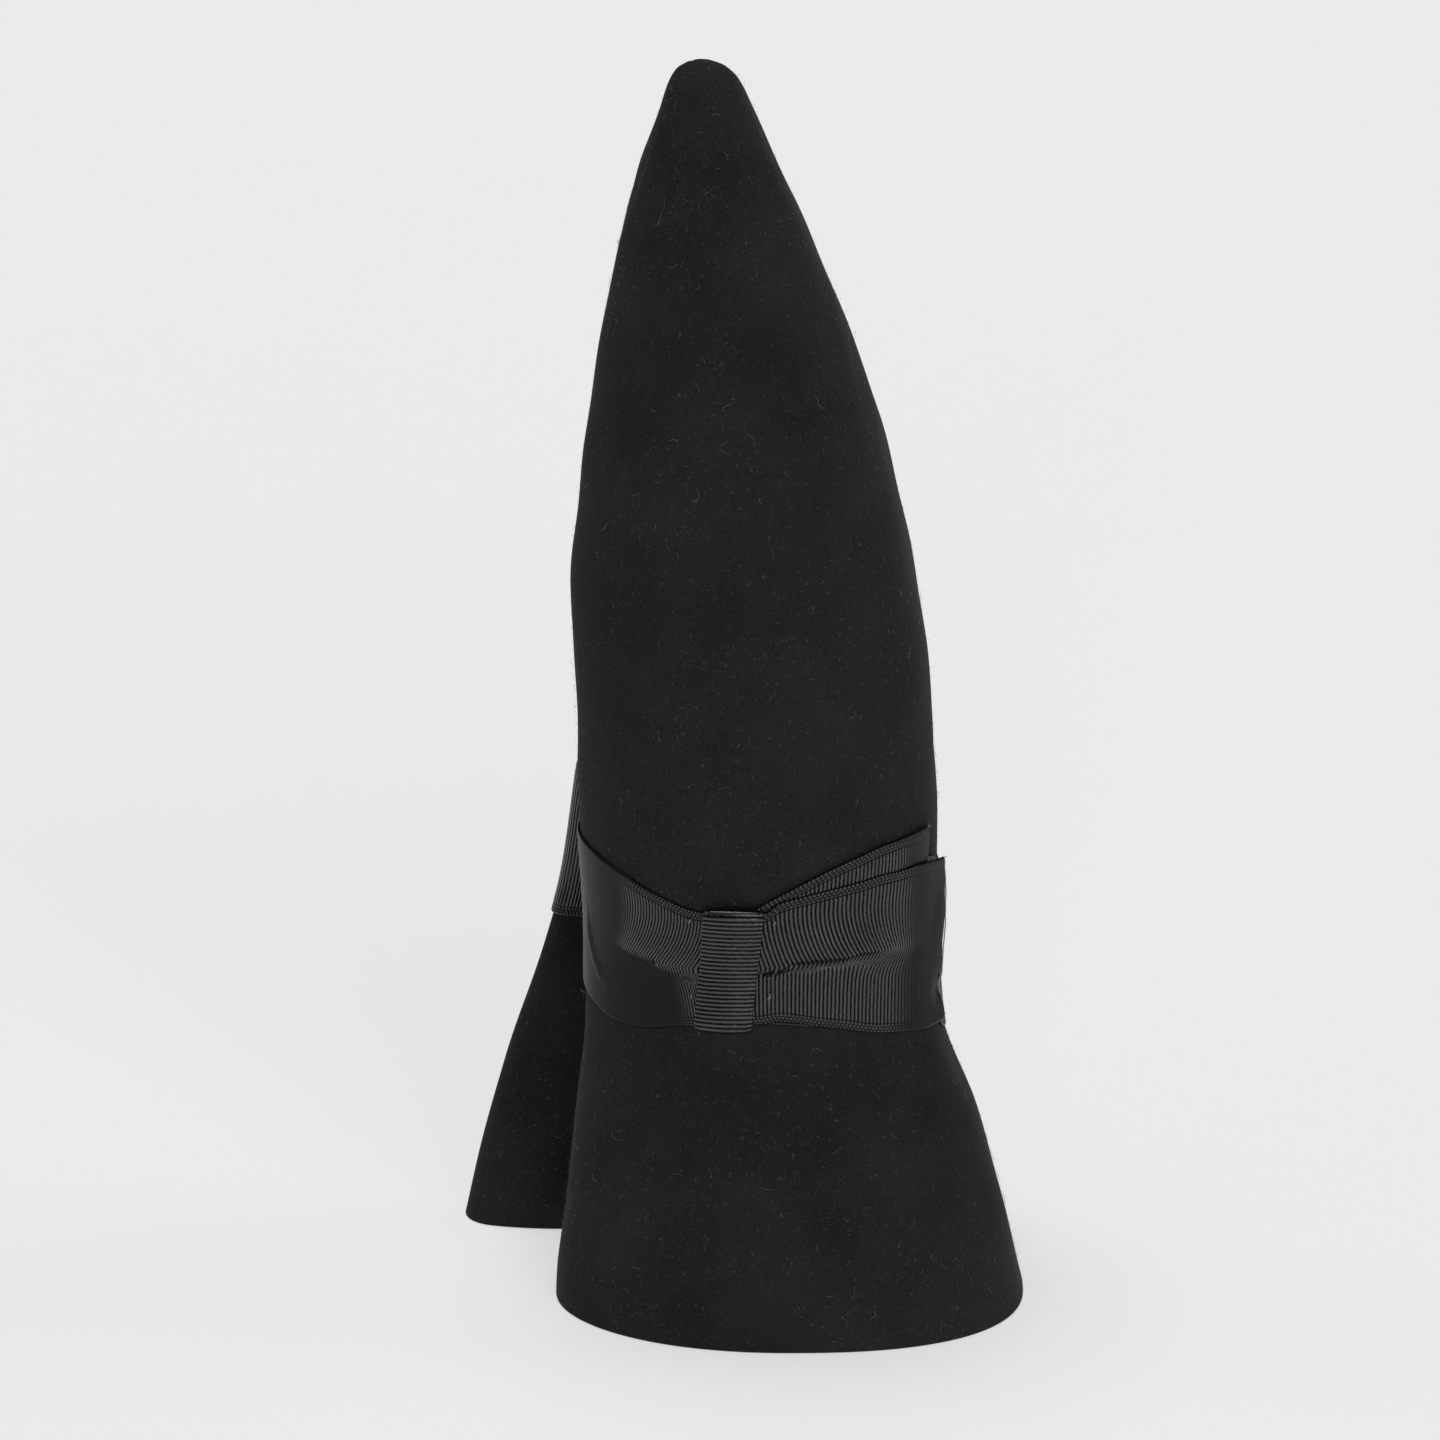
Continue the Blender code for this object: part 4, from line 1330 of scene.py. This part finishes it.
RIGHT_PLEAT = Pleat(turns=(-8.0, 0.0, 6.0, 14.0, 25.0, 33.5, 43.0, 50.0, 62.0),
                    heights=(0.0764, 0.0767, 0.0770, 0.0774, 0.0778, 0.0784, 0.0781, 0.0778, 0.0770),
                    depths=(0.0, 0.0001, 0.0006, 0.0013, 0.0018, 0.0018, 0.0013, 0.0006, 0.0),
                    leans_above=(0.0020, 0.0028, 0.0032, 0.0038, 0.0040, 0.0036, 0.0028, 0.0018, 0.0),
                    leans_below=(0.0,) * 9,
                    leans_through=(0.0, 0.0, 0.0, 0.0, 0.0, 0.0006, 0.0024, 0.0018, 0.0))
LEFT_CREASE = ((0.0670, -61.0), (0.0702, -66.0), (0.0721, -68.2), (0.0751, -70.5), (0.0786, -72.0),
               (0.0840, -72.9))
FLAT = Pleat(turns=(-10.0, 90.0), heights=(0.05, 0.05), depths=(0.0, 0.0), leans_above=(0.0, 0.0),
             leans_below=(0.0, 0.0), leans_through=(0.0, 0.0))
BAND_WEAVE = Weave(pitch=0.00066)
BACK_TAIL_WEAVE = Weave(pitch=0.00080)
FRONT_TAIL_WEAVE = Weave(pitch=0.00085)
PLAIN_WEAVE = Weave(pitch=0.00066, rib=0.0, groove=0.0, braid=0.0, lip=0.0)


def main() -> None:
    """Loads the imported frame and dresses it, piece by piece."""
    logging.basicConfig(level=logging.INFO, format="%(name)s %(message)s")
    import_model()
    wool = FeltFinish().material()
    grosgrain = RibbonFinish().material()
    fibre = ThreadFinish("wool_fibres", (0.026, 0.025, 0.028), (0.36, 0.35, 0.37)).material()
    yarn = ThreadFinish("rayon_yarns", (0.008, 0.008, 0.009), (0.24, 0.24, 0.245), 0.4).material()
    FeltBody().build(wool)
    inside = Ribbon("ribbon_band_inside", "ribbon_band", INSIDE_STATIONS, FLAT, PLAIN_WEAVE,
                    course=Course.ROUND_TUCKED_FOLD, column_step=0.0011, face_rows=7).build(grosgrain)
    band = Ribbon("ribbon_band_woven", "ribbon_band", BAND_STATIONS, LEFT_PLEAT, BAND_WEAVE,
                  smooth_turns=((-46, -56),), smooth_below=((-31, -39),), crease=LEFT_CREASE,
                  course=Course.ROUND_FREE_FOLD).build(grosgrain)
    back_tail = Ribbon("bow_tail_back_woven", "bow_tail_back", BACK_TAIL_STATIONS, FLAT, BACK_TAIL_WEAVE,
                       smooth_turns=((47, 57),), ragged=0.00012, face_rows=36).build(grosgrain)
    front_tail = Ribbon("bow_tail_front_woven", "bow_tail_front", FRONT_TAIL_STATIONS, RIGHT_PLEAT,
                        FRONT_TAIL_WEAVE, smooth_turns=((48, 59),), ragged=0.00008, face_rows=60,
                        back_rows=25, end_waves=((0.0668, -0.0009, 0.0026), (0.0615, 0.0003, 0.0020),
                                                 (0.0830, 0.0004, 0.0060))).build(grosgrain)
    knot = Knot().build(grosgrain)
    LooseThreads().build(yarn)
    Nap("felt_nap", 18000, 0.0004, 0.0014, 0.000014, 0.00035, 3, 3).build(fibre)
    Nap("felt_stray_fibres", 5200, 0.0008, 0.0034, 0.000017, 0.0012, 6, 4).build(fibre)
    Studio().build()


if __name__ == "__main__":
    main()
